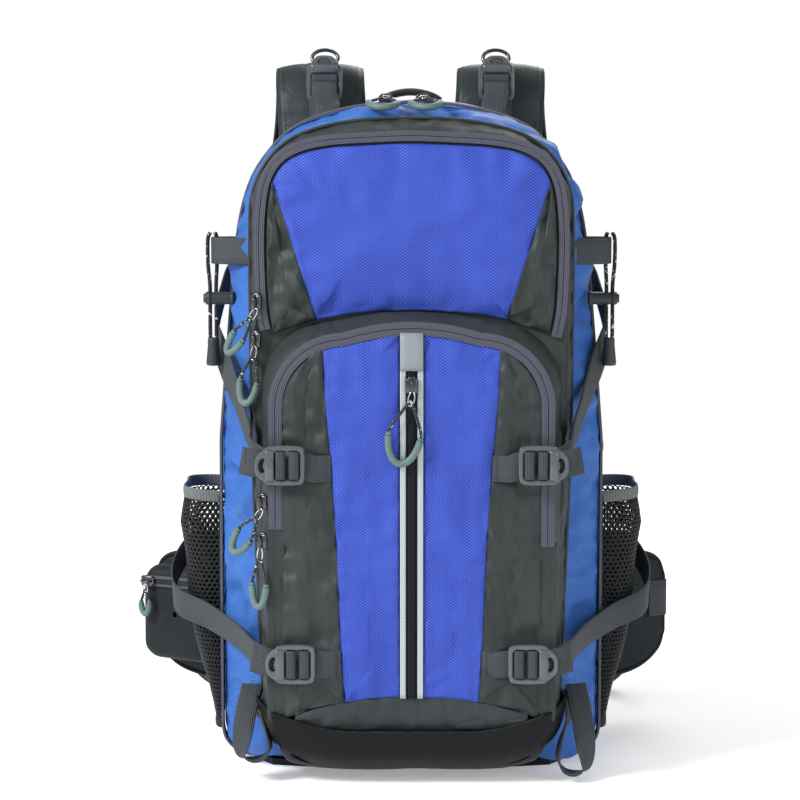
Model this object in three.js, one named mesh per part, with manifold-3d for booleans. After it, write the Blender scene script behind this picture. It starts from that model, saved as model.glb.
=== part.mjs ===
// A hiking daypack of about 30 litres, in millimetres, +Z up. Its front faces -Y, the wearer's back is at +Y,
// and the origin is on the ground under the middle of the base. It has three compartments, one behind the other:
// the main one, the one in the front shell, and the front pocket. The compression straps hold the front shell's
// lower half, so an open zip lets only its upper half fold forward.
import * as THREE from "three";
import { mergeVertices } from "three/addons/utils/BufferGeometryUtils.js";
import Module from "manifold-3d";

const wasm = await Module();
wasm.setup();

// Driving dimensions
const BAG_HALF = 146; // half the width of the bag at its widest
const BAG_TOP = 504; // height of the bag
const BACK_Y = 95; // the back wall's outer face
const ZIP_Y = -20; // plane of the main zip
const PANEL_Y = -78; // plane of the front shell's mouth
const POCKET_Y = -98; // plane of the front pocket's mouth
const FACE_Y = -110; // the front pocket's face
const FOLD_Z = 350; // height at which the front shell folds, above the straps
const FLAP_Z = 262; // height at which the front pocket's panel folds
const WALL = 3; // fabric with its foam and lining
const GAP = 0.4; // clearance between neighbouring pieces
const BOOT_TOP = 43; // height of the base's front wall
const HEM = 63; // height of the base's side walls
const WEB = 20; // width of the webbing
const BELT_WEB = 30; // width of the hip belt's webbing
const WEB_THICK = 1.6;
const PAD_THICK = 14; // foam of the shoulder straps and wings
const CORD = 3; // diameter of the shock cord
const LOCK_LENGTH = 36; // ladder lock
const LOCK_WIDTH = 29;
const LOCK_THICK = 4;

// Colours of the materials
const BLUE = new THREE.MeshStandardMaterial({ color: 0x2f5fc4, roughness: 0.6 });
const GREY = new THREE.MeshStandardMaterial({ color: 0x464c4c, roughness: 0.7 });
const BLACK = new THREE.MeshStandardMaterial({ color: 0x15171b, roughness: 0.8 });
const WEBBING = new THREE.MeshStandardMaterial({ color: 0x4a4d50, roughness: 0.85 });
const PLASTIC = new THREE.MeshStandardMaterial({ color: 0x5d6567, roughness: 0.45 });
const METAL = new THREE.MeshStandardMaterial({ color: 0x6a665f, roughness: 0.3, metalness: 1 });
const RUBBER = new THREE.MeshStandardMaterial({ color: 0x6b8582, roughness: 0.5 });

const pack = new THREE.Group();
const leftSide = new THREE.Group();
leftSide.scale.x = -1;
pack.add(leftSide);

// ---- Helpers ----

function vec(x, y, z) {
  return new THREE.Vector3(x, y, z);
}

// Moves every vertex of a geometry by a function, and keeps only its merged positions.
function warp(geometry, move) {
  for (const name of ["normal", "uv"]) geometry.deleteAttribute(name);
  const merged = mergeVertices(geometry, 1e-4);
  const position = merged.attributes.position;
  const point = vec(0, 0, 0);
  for (let i = 0; i < position.count; i++) {
    point.fromBufferAttribute(position, i);
    move(point);
    position.setXYZ(i, point.x, point.y, point.z);
  }
  return merged;
}

function manifoldOf(geometry) {
  const clean = warp(geometry.clone(), () => {});
  const mesh = new wasm.Mesh({
    numProp: 3,
    vertProperties: clean.attributes.position.array,
    triVerts: new Uint32Array(clean.index.array),
  });
  return new wasm.Manifold(mesh);
}

function geometryOf(manifold) {
  const mesh = manifold.getMesh();
  return new THREE.BufferGeometry()
    .setAttribute("position", new THREE.BufferAttribute(mesh.vertProperties, 3))
    .setIndex(new THREE.BufferAttribute(mesh.triVerts, 1));
}

function cut(geometry, ...tools) {
  return geometryOf(tools.reduce((solid, tool) => solid.subtract(manifoldOf(tool)), manifoldOf(geometry)));
}

function join(geometry, ...others) {
  return geometryOf(others.reduce((solid, other) => solid.add(manifoldOf(other)), manifoldOf(geometry)));
}

function box(low, high) {
  const size = high.clone().sub(low);
  return new THREE.BoxGeometry(size.x, size.y, size.z).translate(...low.clone().add(size.divideScalar(2)));
}

// A solid through levels of depth, from the back to the front, each with its y and its own outline. All the
// outlines have the same number of points.
function loft(levels, curveSegments = 2) {
  const steps = levels.length - 1;
  const rings = levels.map((level) => level.outline.getPoints(curveSegments));
  const first = levels[0].outline;
  const geometry = new THREE.ExtrudeGeometry(first, { depth: steps, steps, curveSegments, bevelEnabled: false });
  return warp(geometry, (p) => {
    const here = new THREE.Vector2(p.x, p.y);
    const gaps = rings[0].map((q) => q.distanceTo(here));
    const nearest = gaps.indexOf(Math.min(...gaps));
    const level = Math.round(p.z);
    p.set(rings[level][nearest].x, levels[level].y, rings[level][nearest].y);
  });
}

// The lower and the upper part of a geometry that is parted at a height.
function partAt(geometry, z) {
  const far = 1000;
  const above = box(vec(-far, -far, z - GAP / 2), vec(far, far, far));
  const below = box(vec(-far, -far, -far), vec(far, far, z + GAP / 2));
  return [cut(geometry.clone(), above), cut(geometry, below)];
}

// A section swept along a curve. The section's x stays along `across` as far as the curve allows.
function sweep(section, curve, steps, across) {
  const options = { depth: steps, steps, curveSegments: 2, bevelEnabled: false };
  return warp(new THREE.ExtrudeGeometry(section, options), (p) => {
    const along = Math.round(p.z) / steps;
    const tangent = curve.getTangentAt(along);
    const side = across(along).addScaledVector(tangent, -across(along).dot(tangent)).normalize();
    const normal = tangent.clone().cross(side);
    const { x, y } = p;
    p.copy(curve.getPointAt(along)).addScaledVector(side, x).addScaledVector(normal, y);
  });
}

function rectangle(width, height) {
  const [x, y] = [width / 2, height / 2];
  return new THREE.Shape([
    new THREE.Vector2(-x, -y),
    new THREE.Vector2(x, -y),
    new THREE.Vector2(x, y),
    new THREE.Vector2(-x, y),
  ]);
}

// A rectangle with its four corners cut off by `corner`.
function padSection(width, height, corner) {
  const [x, y] = [width / 2, height / 2];
  const quarter = [
    [x, y - corner],
    [x - corner, y],
  ];
  const points = [];
  for (const [sx, sy] of [[1, 1], [-1, 1], [-1, -1], [1, -1]]) {
    const turned = quarter.map(([px, py]) => new THREE.Vector2(px * sx, py * sy));
    points.push(...(sx * sy > 0 ? turned : turned.reverse()));
  }
  return new THREE.Shape(points);
}

function curveThrough(points) {
  return new THREE.CatmullRomCurve3(points.map((p) => vec(...p)), false, "centripetal");
}

// A strap of webbing through points. `across` is the direction of its width.
function webbing(points, across, width = WEB, steps = 14) {
  const direction = vec(...across);
  return sweep(rectangle(width, WEB_THICK), curveThrough(points), steps, () => direction.clone());
}

function piece(name, geometry, material, parent = pack) {
  const mesh = new THREE.Mesh(geometry, material);
  mesh.name = name;
  parent.add(mesh);
  return mesh;
}

// The same piece on the right and, mirrored, on the left.
function pair(name, geometry, material) {
  piece(`${name}_right`, geometry, material);
  piece(`${name}_left`, geometry.clone(), material, leftSide);
}

// ---- Outlines, in x and z ----

// The bag's arch at the main zip, and the squarer one at the front shell's mouth: each is a straight side up to
// the shoulder, then a curve over the top.
const REAR_ARCH = [[BAG_HALF, 250], [139, 325], [132, 400], [121, 446], [91, 486], [46, 500], [0, BAG_TOP]];
const FRONT_ARCH = [[115, 250], [117, 325], [116, 400], [111, 436], [88, 472], [44, 485], [0, 488]];

// `front` says how far the outline has changed from the rear arch to the front one, and `narrow` and `low` scale
// its width and height.
function bagOutline({ foot, inset = 0, front = 0, narrow = 1, low = 1 }) {
  const corner = 22;
  const arch = REAR_ARCH.map(([x, z], i) => {
    const [frontX, frontZ] = FRONT_ARCH[i];
    const wide = THREE.MathUtils.lerp(x, frontX, front) * narrow;
    return new THREE.Vector2(Math.max(wide - inset, 0), THREE.MathUtils.lerp(z, frontZ, front) * low - inset);
  });
  const top = arch.pop();
  const left = arch.map((p) => new THREE.Vector2(-p.x, p.y)).reverse();
  const half = arch[0].x;
  const outline = new THREE.Shape();
  outline.moveTo(-half + corner, foot);
  outline.lineTo(half - corner, foot);
  outline.absarc(half - corner, foot + corner, corner, -Math.PI / 2, 0);
  outline.lineTo(half, arch[0].y);
  outline.splineThru([...arch.slice(1), top, ...left]);
  outline.lineTo(-half, foot + corner);
  outline.absarc(-half + corner, foot + corner, corner, Math.PI, 1.5 * Math.PI);
  return outline;
}

// The front pocket's arch: straight sides with round shoulders and small lower corners.
function pocketOutline(half, foot, top) {
  const shoulder = 50;
  const corner = 14;
  const crown = 8; // rise of the top edge at its middle
  const outline = new THREE.Shape();
  outline.moveTo(-half + corner, foot);
  outline.lineTo(half - corner, foot);
  outline.absarc(half - corner, foot + corner, corner, -Math.PI / 2, 0);
  outline.lineTo(half, top - shoulder - crown);
  outline.absarc(half - shoulder, top - shoulder - crown, shoulder, 0, Math.PI / 2);
  outline.quadraticCurveTo(0, top + crown, -half + shoulder, top - crown);
  outline.absarc(-half + shoulder, top - shoulder - crown, shoulder, Math.PI / 2, Math.PI);
  outline.lineTo(-half, foot + corner);
  outline.absarc(-half + corner, foot + corner, corner, Math.PI, 1.5 * Math.PI);
  return outline;
}

// The upper panel: the top of the arch, above a seam that rises towards its middle.
function upperPanelOutline(inset) {
  const [half, foot, rise] = [108 - inset, 336 + inset, 34];
  const arch = [[107, 360], [106, 400], [100, 435], [78, 468], [38, 484]];
  const right = arch.map(([x, z]) => new THREE.Vector2(x - inset, z - inset));
  const left = right.map((p) => new THREE.Vector2(-p.x, p.y)).reverse();
  const outline = new THREE.Shape();
  outline.moveTo(-half, foot);
  outline.quadraticCurveTo(0, foot + rise, half, foot);
  outline.splineThru([...right, new THREE.Vector2(0, 488 - inset), ...left, new THREE.Vector2(-half, foot)]);
  return outline;
}

// ---- The bag's fabric shells ----

// The main compartment: a deep tray, open to the front along the main zip. Its back narrows towards the wearer.
const BACK_LEVELS = [
  { y: BACK_Y, narrow: 0.87, low: 0.954 },
  { y: 86, narrow: 0.935, low: 0.977 },
  { y: 60, narrow: 1, low: 0.992 },
  { y: 15, narrow: 1, low: 1 },
  { y: ZIP_Y - 0.2, narrow: 0.986, low: 1 },
];

function mainShell() {
  const foot = 6.3;
  const level = (inset, y, { narrow, low }) => ({
    y,
    outline: bagOutline({ foot: foot + inset, inset, narrow, low }),
  });
  const outer = loft(BACK_LEVELS.map((at) => level(0, at.y, at)));
  const inner = loft(BACK_LEVELS.map((at, i) => level(WALL, at.y + [-WALL, -1, 0, 0, -WALL][i], at)));
  return cut(outer, inner);
}

// The front shell: the blue gusset in front of the main zip and the grey one of the middle compartment, with
// the divider between the two compartments at its back.
function frontShell() {
  const foot = HEM + 1;
  const level = (inset, y, front, narrow = 1) => ({
    y,
    outline: bagOutline({ foot: foot + inset, inset, front, narrow }),
  });
  const rear = ZIP_Y - 0.2 - GAP;
  const outer = loft([level(0, rear, 0, 0.986), level(0, -60, 0.86), level(0, PANEL_Y, 1)]);
  const inner = loft([
    level(WALL, rear - WALL, 0.08, 0.986),
    level(WALL, -60, 0.86),
    level(WALL, PANEL_Y - 2, 1),
  ]);
  return cut(outer, inner);
}

// The black base: a floor with a front wall, and side walls up to the blue hem.
function baseBoot() {
  const plan = new THREE.Shape();
  plan.moveTo(-128, BACK_Y);
  plan.quadraticCurveTo(-142, 60, -142, -14);
  plan.lineTo(-119, -60);
  plan.quadraticCurveTo(-114, -100, -92, -100);
  plan.lineTo(92, -100);
  plan.quadraticCurveTo(114, -100, 119, -60);
  plan.lineTo(142, -14);
  plan.quadraticCurveTo(142, 60, 128, BACK_Y);
  plan.closePath();
  const block = new THREE.ExtrudeGeometry(plan, { depth: HEM, steps: 1, curveSegments: 4, bevelEnabled: false });
  const floor = 6;
  const hollow = warp(block.clone(), (p) => {
    p.set(p.x * 0.975, p.y > 0 ? p.y : p.y + WALL, p.z + floor);
  });
  const aboveRear = box(vec(-200, ZIP_Y - 0.5, floor), vec(200, 200, 200));
  const aboveFront = box(vec(-200, -200, BOOT_TOP), vec(200, PANEL_Y - 0.3, 200));
  return cut(block, hollow, aboveRear, aboveFront);
}

// The upper panel closes the middle compartment above the front pocket.
function upperPanel() {
  const level = (y, inset) => ({ y, outline: upperPanelOutline(inset) });
  const outer = loft([level(PANEL_Y - GAP, 0), level(PANEL_Y - 6, 2), level(PANEL_Y - 10, 9)]);
  const inner = loft([level(PANEL_Y + 5, 3), level(PANEL_Y - 4, 5), level(PANEL_Y - 7, 11)]);
  return cut(outer, inner);
}

const POCKET_FOOT = 46;
const POCKET_TOP = 345;
const POCKET_HALF = 105;

// A level of the front pocket: its outline at a depth, set in from the widest one.
function pocketLevel(y, inset) {
  return { y, outline: pocketOutline(POCKET_HALF - inset, POCKET_FOOT + inset, POCKET_TOP - inset) };
}

// The front pocket's gusset with its back wall: a tray, open to the front along its zip.
function frontPocket() {
  const outer = loft([pocketLevel(PANEL_Y - GAP, -2), pocketLevel(POCKET_Y, 0)], 5);
  const inner = loft([pocketLevel(PANEL_Y - GAP - WALL, WALL - 1), pocketLevel(POCKET_Y - 2, WALL)], 5);
  return cut(outer, inner);
}

function pocketPanel() {
  const bulge = [pocketLevel(POCKET_Y - GAP, 0), pocketLevel(-104, 2), pocketLevel(-108, 6)];
  const outer = loft([...bulge, pocketLevel(FACE_Y, 12)], 5);
  const inner = loft([pocketLevel(POCKET_Y + 5, 4), pocketLevel(-102, 5), pocketLevel(FACE_Y + WALL, 14)], 5);
  return cut(outer, inner);
}

// A stretch mesh pocket on the bag's side, open at its top, which bulges outwards as it rises.
function meshPocket() {
  const foot = 26;
  const rim = 204;
  const levels = [
    { z: foot, bulge: 6 },
    { z: 70, bulge: 20 },
    { z: 125, bulge: 30 },
    { z: 180, bulge: 35 },
    { z: rim, bulge: 29 },
  ];
  const steps = levels.length - 1;
  const make = (skin, lift) => {
    const plan = new THREE.Shape();
    plan.moveTo(-12, -8 + skin);
    plan.lineTo(0, -8 + skin);
    plan.bezierCurveTo(0.85, -8 + skin, 1, 5, 1, 38);
    plan.bezierCurveTo(1, 70, 0.85, 84 - skin, 0, 84 - skin);
    plan.lineTo(-12, 84 - skin);
    plan.closePath();
    const options = { depth: steps, steps, curveSegments: 5, bevelEnabled: false };
    const column = new THREE.ExtrudeGeometry(plan, options);
    return warp(column, (p) => {
      const level = levels[Math.round(p.z)];
      const out = p.x < 0 ? p.x : p.x * (level.bulge - skin);
      p.set(BAG_HALF + out, p.y, level.z + lift);
    });
  };
  const against = ({ y, narrow }) => ({ y, outline: bagOutline({ foot: 0, inset: -GAP, narrow }) });
  const side = loft(BACK_LEVELS.map(against));
  return cut(make(0, 0), make(2, 3), side);
}

piece("main_shell", mainShell(), BLUE);
const [frontLower, frontUpper] = partAt(frontShell(), FOLD_Z);
piece("front_shell", frontLower, GREY);
piece("front_top", frontUpper, BLUE);
piece("base_boot", baseBoot(), BLACK);
piece("upper_panel", upperPanel(), BLUE);
piece("front_pocket", frontPocket(), GREY);
const [panelLower, panelUpper] = partAt(pocketPanel(), FLAP_Z);
piece("pocket_panel", panelLower, BLUE);
piece("pocket_flap", panelUpper, BLUE);
pair("mesh_pocket", meshPocket(), BLACK);

// ---- The back: frame sheet, foam, shoulder straps and haul loop ----

piece("frame_sheet", box(vec(-96, 88.4, 18), vec(96, 91, 416)), BLACK);

// Back foam with one upright channel and one level channel for air.
function backPanel() {
  const outline = new THREE.Shape();
  outline.moveTo(-104, 40);
  outline.lineTo(104, 40);
  outline.quadraticCurveTo(122, 40, 120, 60);
  outline.lineTo(112, 400);
  outline.quadraticCurveTo(104, 456, 60, 458);
  outline.lineTo(-60, 458);
  outline.quadraticCurveTo(-104, 456, -112, 400);
  outline.lineTo(-120, 60);
  outline.quadraticCurveTo(-122, 40, -104, 40);
  const foam = new THREE.ExtrudeGeometry(outline, { depth: 16, curveSegments: 4, bevelEnabled: false })
    .rotateX(Math.PI / 2)
    .translate(0, 16 + BACK_Y + GAP, 0);
  const channel = box(vec(-11, 104, 30), vec(11, 130, 470));
  const crossChannel = box(vec(-140, 104, 172), vec(140, 130, 188));
  return cut(foam, channel, crossChannel);
}
piece("back_panel", backPanel(), BLACK);

// A shoulder strap leaves the foam's top, arches over and hangs down behind the pack.
const STRAP_ROUTE = [
  [70, 122, 452],
  [71, 124, 486],
  [73, 134, 516],
  [74, 156, 530],
  [75, 182, 516],
  [78, 196, 478],
  [87, 199, 420],
  [98, 192, 350],
  [106, 180, 290],
  [110, 168, 236],
];
const strapCurve = curveThrough(STRAP_ROUTE);
const strapPad = sweep(padSection(72, PAD_THICK, 4), strapCurve, 22, () => vec(1, 0, 0));
pair("shoulder_strap", strapPad, GREY);

// The load lifter ties the shoulder strap to the top of the pack.
pair(
  "load_lifter",
  webbing([[66, 72, 503], [67, 90, 504], [68, 104, 506], [69, 110.6, 520]], [1, 0, 0], WEB, 8),
  WEBBING,
);

piece(
  "haul_loop",
  webbing(
    [
      [-28, 105, 474], [-29, 105, 492], [-22, 106, 508], [0, 106, 514],
      [22, 106, 508], [29, 105, 492], [28, 105, 474],
    ],
    [0, 1, 0],
    WEB - 2,
    18,
  ),
  WEBBING,
);

// ---- Ladder locks ----

// A frame with a lifting tab at its -x end, a thumb hole in the tab, and two webbing slots.
function ladderLock() {
  const half = LOCK_WIDTH / 2;
  const frame = new THREE.Shape();
  frame.moveTo(LOCK_LENGTH - 3, -half);
  frame.quadraticCurveTo(LOCK_LENGTH, -half, LOCK_LENGTH, -half + 3);
  frame.lineTo(LOCK_LENGTH, half - 3);
  frame.quadraticCurveTo(LOCK_LENGTH, half, LOCK_LENGTH - 3, half);
  frame.lineTo(13, half);
  frame.bezierCurveTo(4, half, 0, 9, 0, 0);
  frame.bezierCurveTo(0, -9, 4, -half, 13, -half);
  frame.closePath();
  const plate = new THREE.ExtrudeGeometry(frame, { depth: LOCK_THICK, curveSegments: 3, bevelEnabled: false });
  const slot = (from, to, reach) => box(vec(from, -reach, -1), vec(to, reach, LOCK_THICK + 1));
  return cut(plate, slot(15, 21.5, 11), slot(25.5, 32, 11), slot(4, 8, 5));
}

// The four on the front: each one's tab points outwards.
const LOCK_FACE_Y = FACE_Y - 2.4;
const LOCKS = [
  { name: "upper", x: 114, z: 241 },
  { name: "lower", x: 107, z: 94 },
];
for (const { name, x, z } of LOCKS) {
  const geometry = ladderLock().rotateZ(Math.PI).rotateX(Math.PI / 2).translate(x, LOCK_FACE_Y, z);
  pair(`${name}_lock`, geometry, PLASTIC);
}

// The two on the shoulder straps stand against the rising side of the strap, tab up.
{
  const geometry = ladderLock().rotateZ(-Math.PI / 2).rotateX(Math.PI / 2).translate(69, 116.4, 543);
  pair("lifter_lock", geometry, PLASTIC);
}

// ---- Compression straps, from the side seams at the back to the ladder locks ----

function sideStrap(points, across) {
  const directions = across.map((d) => vec(...d).normalize());
  const turning = (along) => {
    const place = along * (directions.length - 1);
    const i = Math.min(Math.floor(place), directions.length - 2);
    return directions[i].clone().lerp(directions[i + 1], place - i);
  };
  return sweep(rectangle(WEB, WEB_THICK), curveThrough(points), 16, turning);
}

pair(
  "upper_strap",
  sideStrap(
    [[145, 70, 346], [147.6, 40, 336], [147.6, 0, 318], [146, -22, 305], [125.4, -61, 276], [119.4, -84, 256],
      [117, -97, 250]],
    [[0, 0.25, 1], [0, 0.4, 1], [0.1, 0.5, 1], [0.3, 0.3, 1]],
  ),
  WEBBING,
);
pair(
  "lower_strap",
  sideStrap(
    [[176, 86, 150], [183, 60, 142], [185, 30, 130], [178, 4, 119], [152, -22, 112], [127, -61, 104],
      [117.8, -88, 98], [116, -101, 96]],
    [[0, 0.2, 1], [0, 0.3, 1], [0.2, 0.3, 1], [0.3, 0.2, 1]],
  ),
  WEBBING,
);

// ---- Loops at the sides ----

// The upper loop, a bow of webbing on the blue gusset, carries the shock cord. The lower one holds a pole
// or an axe.
pair(
  "pole_loop",
  webbing(
    [
      [121, -57, 394], [134, -51, 394], [147.5, -41.5, 394],
      [150, -34, 394], [144, -28, 394], [136, -25, 394],
    ],
    [0, 0, 1],
    WEB,
    12,
  ),
  WEBBING,
);
pair(
  "bottom_loop",
  webbing([[129, -64, 58], [131, -78, 44], [132, -92, 22], [131, -104, 6], [129, -100, 2.4], [131, -88, 8],
    [132, -76, 26], [130, -67, 48]], [1, -0.2, 0], WEB - 2, 18),
  WEBBING,
);

// ---- Shock cord with its lock and its end ----

// The cord is doubled over the loop: its inner strand passes behind the webbing, its outer one in front.
const CORD_X = 149;
const CORD_Y = -38;
const STRAND = 2.3; // half the distance between the cord's two strands
const CORD_LOW = 328;
const cordSection = new THREE.Shape().absarc(0, 0, CORD / 2, 0, 2 * Math.PI);
const cordRoute = curveThrough([
  [CORD_X - STRAND, CORD_Y, CORD_LOW],
  [CORD_X - STRAND, CORD_Y, 350],
  [CORD_X - STRAND, CORD_Y, 368],
  [CORD_X - 3, CORD_Y + 1, 384],
  [CORD_X - 3, CORD_Y + 1.5, 402],
  [CORD_X, CORD_Y, 407.5],
  [CORD_X + 3.6, CORD_Y - 1, 402],
  [CORD_X + 3.6, CORD_Y - 1, 384],
  [CORD_X + STRAND, CORD_Y, 368],
  [CORD_X + STRAND, CORD_Y, 350],
  [CORD_X + STRAND, CORD_Y, CORD_LOW],
]);
pair("shock_cord", sweep(cordSection, cordRoute, 40, () => vec(0, 1, 0)), BLACK);

// The lock is a barrel across the cord with a slot for both strands.
{
  const barrel = new THREE.CylinderGeometry(5, 5, 22, 10).rotateZ(Math.PI / 2);
  barrel.translate(CORD_X - 5, CORD_Y, 358);
  const slot = box(vec(CORD_X - 4.2, CORD_Y - 2.2, 340), vec(CORD_X + 4.2, CORD_Y + 2.2, 380));
  pair("cord_lock", cut(barrel, slot), PLASTIC);
}
// The end is a moulded bell that grips both strands.
pair(
  "cord_end",
  new THREE.CylinderGeometry(4, 5.5, 20, 10).rotateX(Math.PI / 2).translate(CORD_X, CORD_Y, CORD_LOW - GAP - 10),
  PLASTIC,
);

// ---- Hip belt ----

// A wing leaves the lumbar foam, and slopes out and towards the wearer. It narrows to its tip.
const WING_ROOT = [127, 103];
const WING_TIP = [204, 141];
{
  const outline = new THREE.Shape();
  outline.moveTo(0, 34);
  outline.lineTo(34, 36);
  outline.quadraticCurveTo(80, 46, 85, 64);
  outline.lineTo(86, 118);
  outline.quadraticCurveTo(84, 134, 66, 136);
  outline.lineTo(0, 138);
  outline.closePath();
  const wing = new THREE.ExtrudeGeometry(outline, {
    depth: PAD_THICK - 4,
    curveSegments: 4,
    bevelEnabled: true,
    bevelThickness: 2,
    bevelSize: 2,
    bevelOffset: -2,
    bevelSegments: 1,
  });
  const slope = Math.atan2(WING_TIP[1] - WING_ROOT[1], WING_TIP[0] - WING_ROOT[0]);
  wing.rotateX(Math.PI / 2).rotateZ(slope).translate(WING_ROOT[0] + 2, WING_ROOT[1] + 8, 0);
  pair("hip_wing", wing, GREY);

  const pocket = new THREE.ExtrudeGeometry(padSection(66, 78, 12), {
    depth: 14,
    curveSegments: 2,
    bevelEnabled: true,
    bevelThickness: 5,
    bevelSize: 5,
    bevelOffset: -5,
    bevelSegments: 1,
  });
  const room = { depth: 22, curveSegments: 2, bevelEnabled: false };
  const hollow = new THREE.ExtrudeGeometry(padSection(60, 72, 10), room);
  const open = cut(pocket, hollow.translate(0, 0, -6)); // open towards the wing
  open.rotateX(Math.PI / 2).rotateZ(slope).translate(184, 117, 90);
  piece("hip_pocket", open, GREY, leftSide);
}

// The belt's webbing leaves the wing's tip, falls to the ground behind the pack and lies there with its buckle.
const BELT_ROUTE = [
  [201, 151.5, 100],
  [203.5, 163, 99],
  [203, 184, 80],
  [188, 210, 34],
  [166, 226, 6],
  [142, 234, 2],
  [118, 238, 2],
];
{
  const upright = vec(0, 0, 1);
  const flat = vec(0.25, 1, 0).normalize();
  const turning = (along) => {
    return upright.clone().lerp(flat, THREE.MathUtils.smoothstep(along, 0.25, 0.75)).normalize();
  };
  const belt = sweep(rectangle(BELT_WEB, WEB_THICK), curveThrough(BELT_ROUTE), 18, turning);
  pair("belt_webbing", belt, WEBBING);
}

// The socket: a flat case, open at its mouth for the plug's two prongs.
{
  const depth = 9;
  const shell = new THREE.ExtrudeGeometry(padSection(44, 38, 6), { depth, bevelEnabled: false });
  const mouth = box(vec(2, -15, 2), vec(30, 15, depth - 2));
  piece("belt_socket", cut(shell, mouth).translate(-91.5, 239, 0.4), PLASTIC);
}
// The plug: a bar for the webbing with two sprung prongs and a guide between them.
{
  const outline = new THREE.Shape();
  outline.moveTo(0, -19);
  outline.lineTo(14, -19);
  outline.lineTo(14, -13);
  outline.lineTo(36, -13);
  outline.lineTo(36, -8);
  outline.lineTo(18, -6);
  outline.lineTo(18, -2);
  outline.lineTo(32, -2);
  outline.lineTo(32, 2);
  outline.lineTo(18, 2);
  outline.lineTo(18, 6);
  outline.lineTo(36, 8);
  outline.lineTo(36, 13);
  outline.lineTo(14, 13);
  outline.lineTo(14, 19);
  outline.lineTo(0, 19);
  outline.closePath();
  const slot = new THREE.Path();
  slot.moveTo(4, -15);
  slot.lineTo(4, 15);
  slot.lineTo(9, 15);
  slot.lineTo(9, -15);
  slot.closePath();
  outline.holes = [slot];
  const plug = new THREE.ExtrudeGeometry(outline, { depth: 5, bevelEnabled: false });
  piece("belt_plug", plug.rotateZ(Math.PI).translate(113.5, 239, 0.4), PLASTIC);
}

// ---- Zip sliders and pulls ----

// A slider, made to run along z with its face at -y: a body on the zip's teeth and a bridge for the pull.
function slider() {
  const body = box(vec(-4, -3, -6), vec(4, 0, 6));
  const bridge = box(vec(-1.3, -5.2, -5), vec(1.3, -2.5, 4));
  return join(body, bridge);
}

// A pull: a cord loop in a moulded grip, as a teardrop ring that hangs from its top.
function pull(width, length) {
  const tube = 1.8;
  const ring = new THREE.TorusGeometry(1, 0.1, 6, 14);
  return warp(ring, (p) => {
    const around = Math.atan2(p.y, p.x);
    const off = ((Math.hypot(p.x, p.y) - 1) / 0.1) * tube;
    const half = (width / 2 - tube) * (1 - 0.55 * Math.max(0, Math.sin(around)));
    const x = (half + off) * Math.cos(around);
    const z = (length / 2 - tube) * (Math.sin(around) - 1) + off * Math.sin(around);
    p.set(x, (-p.z / 0.1) * tube, z);
  });
}

// Each slider's place, the way it faces (a turn about z), and its pull's width, length and lean to one side.
// The two at the top lie on their backs, and their pulls lie forward over the edge.
const SLIDERS = [
  { name: "centre", at: [0, FACE_Y - GAP, 299], lean: 0.18, width: 24, length: 52 },
  { name: "main_left", at: [-19, ZIP_Y, BAG_TOP + 0.8], lie: -1.35, lean: 0.08, width: 26, length: 42 },
  { name: "main_right", at: [9, ZIP_Y, BAG_TOP + 0.8], lie: -1.35, lean: -0.06, width: 26, length: 42 },
  { name: "upper_high", at: [-113.5, PANEL_Y - 2.6, 358], face: -0.5, lean: 0.66, width: 11, length: 40 },
  { name: "upper_low", at: [-114, PANEL_Y - 2.6, 330], face: -0.5, lean: 0.2, width: 15, length: 42 },
  { name: "pocket_high", at: [-109, POCKET_Y - 1, 212], face: -0.6, lean: 0.68, width: 15, length: 42 },
  { name: "pocket_low", at: [-109, POCKET_Y - 1, 183], face: -0.6, lean: 0.04, width: 15, length: 44 },
  { name: "hip", at: [-214.3, 109.8, 117], face: -0.4584, level: true, lean: 0, width: 12, length: 26 },
];

for (const { name, at, face = 0, lie = 0, level = false, lean, width, length } of SLIDERS) {
  const along = lie || level ? Math.PI / 2 : 0;
  const below = along ? -3.6 : -7.6;
  const turn = new THREE.Matrix4().makeRotationZ(face).multiply(new THREE.Matrix4().makeRotationX(lie));
  const place = new THREE.Matrix4().makeTranslation(...at).multiply(turn);
  piece(`${name}_slider`, slider().rotateY(along).applyMatrix4(place), METAL);
  const ring = pull(width, length).rotateY(lean).translate(0, along ? -5.2 : -4.2, below);
  piece(`${name}_pull`, ring.applyMatrix4(place), RUBBER);
}

export default pack;
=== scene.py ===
# %% [markdown]
# A hiking daypack, made piece by piece on top of its engineering model.
# That model is a frame: it says where every piece is and how it moves. Here each piece gets the look of
# the real one: sewn nylon, webbing, moulded buckles, coil zips and foam. Lengths are in millimetres until
# a mesh is made, because a bag maker's patterns are in millimetres.

# %% Load the frame
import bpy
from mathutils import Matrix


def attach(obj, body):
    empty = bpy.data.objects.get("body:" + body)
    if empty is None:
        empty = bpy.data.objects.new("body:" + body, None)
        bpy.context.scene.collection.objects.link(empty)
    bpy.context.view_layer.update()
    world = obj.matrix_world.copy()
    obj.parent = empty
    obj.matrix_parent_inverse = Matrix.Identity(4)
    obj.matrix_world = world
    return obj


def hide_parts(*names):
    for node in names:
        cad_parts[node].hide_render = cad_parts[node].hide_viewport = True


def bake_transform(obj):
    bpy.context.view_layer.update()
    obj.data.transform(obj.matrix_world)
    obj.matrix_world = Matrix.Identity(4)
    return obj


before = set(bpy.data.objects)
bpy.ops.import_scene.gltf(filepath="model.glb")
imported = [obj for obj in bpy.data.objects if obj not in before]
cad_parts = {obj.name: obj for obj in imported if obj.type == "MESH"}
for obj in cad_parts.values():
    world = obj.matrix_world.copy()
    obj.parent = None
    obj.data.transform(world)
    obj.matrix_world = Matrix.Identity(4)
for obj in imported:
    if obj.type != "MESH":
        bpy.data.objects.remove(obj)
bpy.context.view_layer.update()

# %% Modules and units
import math

import bmesh
import bpy
import numpy as np
from mathutils import Matrix, Vector, noise

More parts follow.
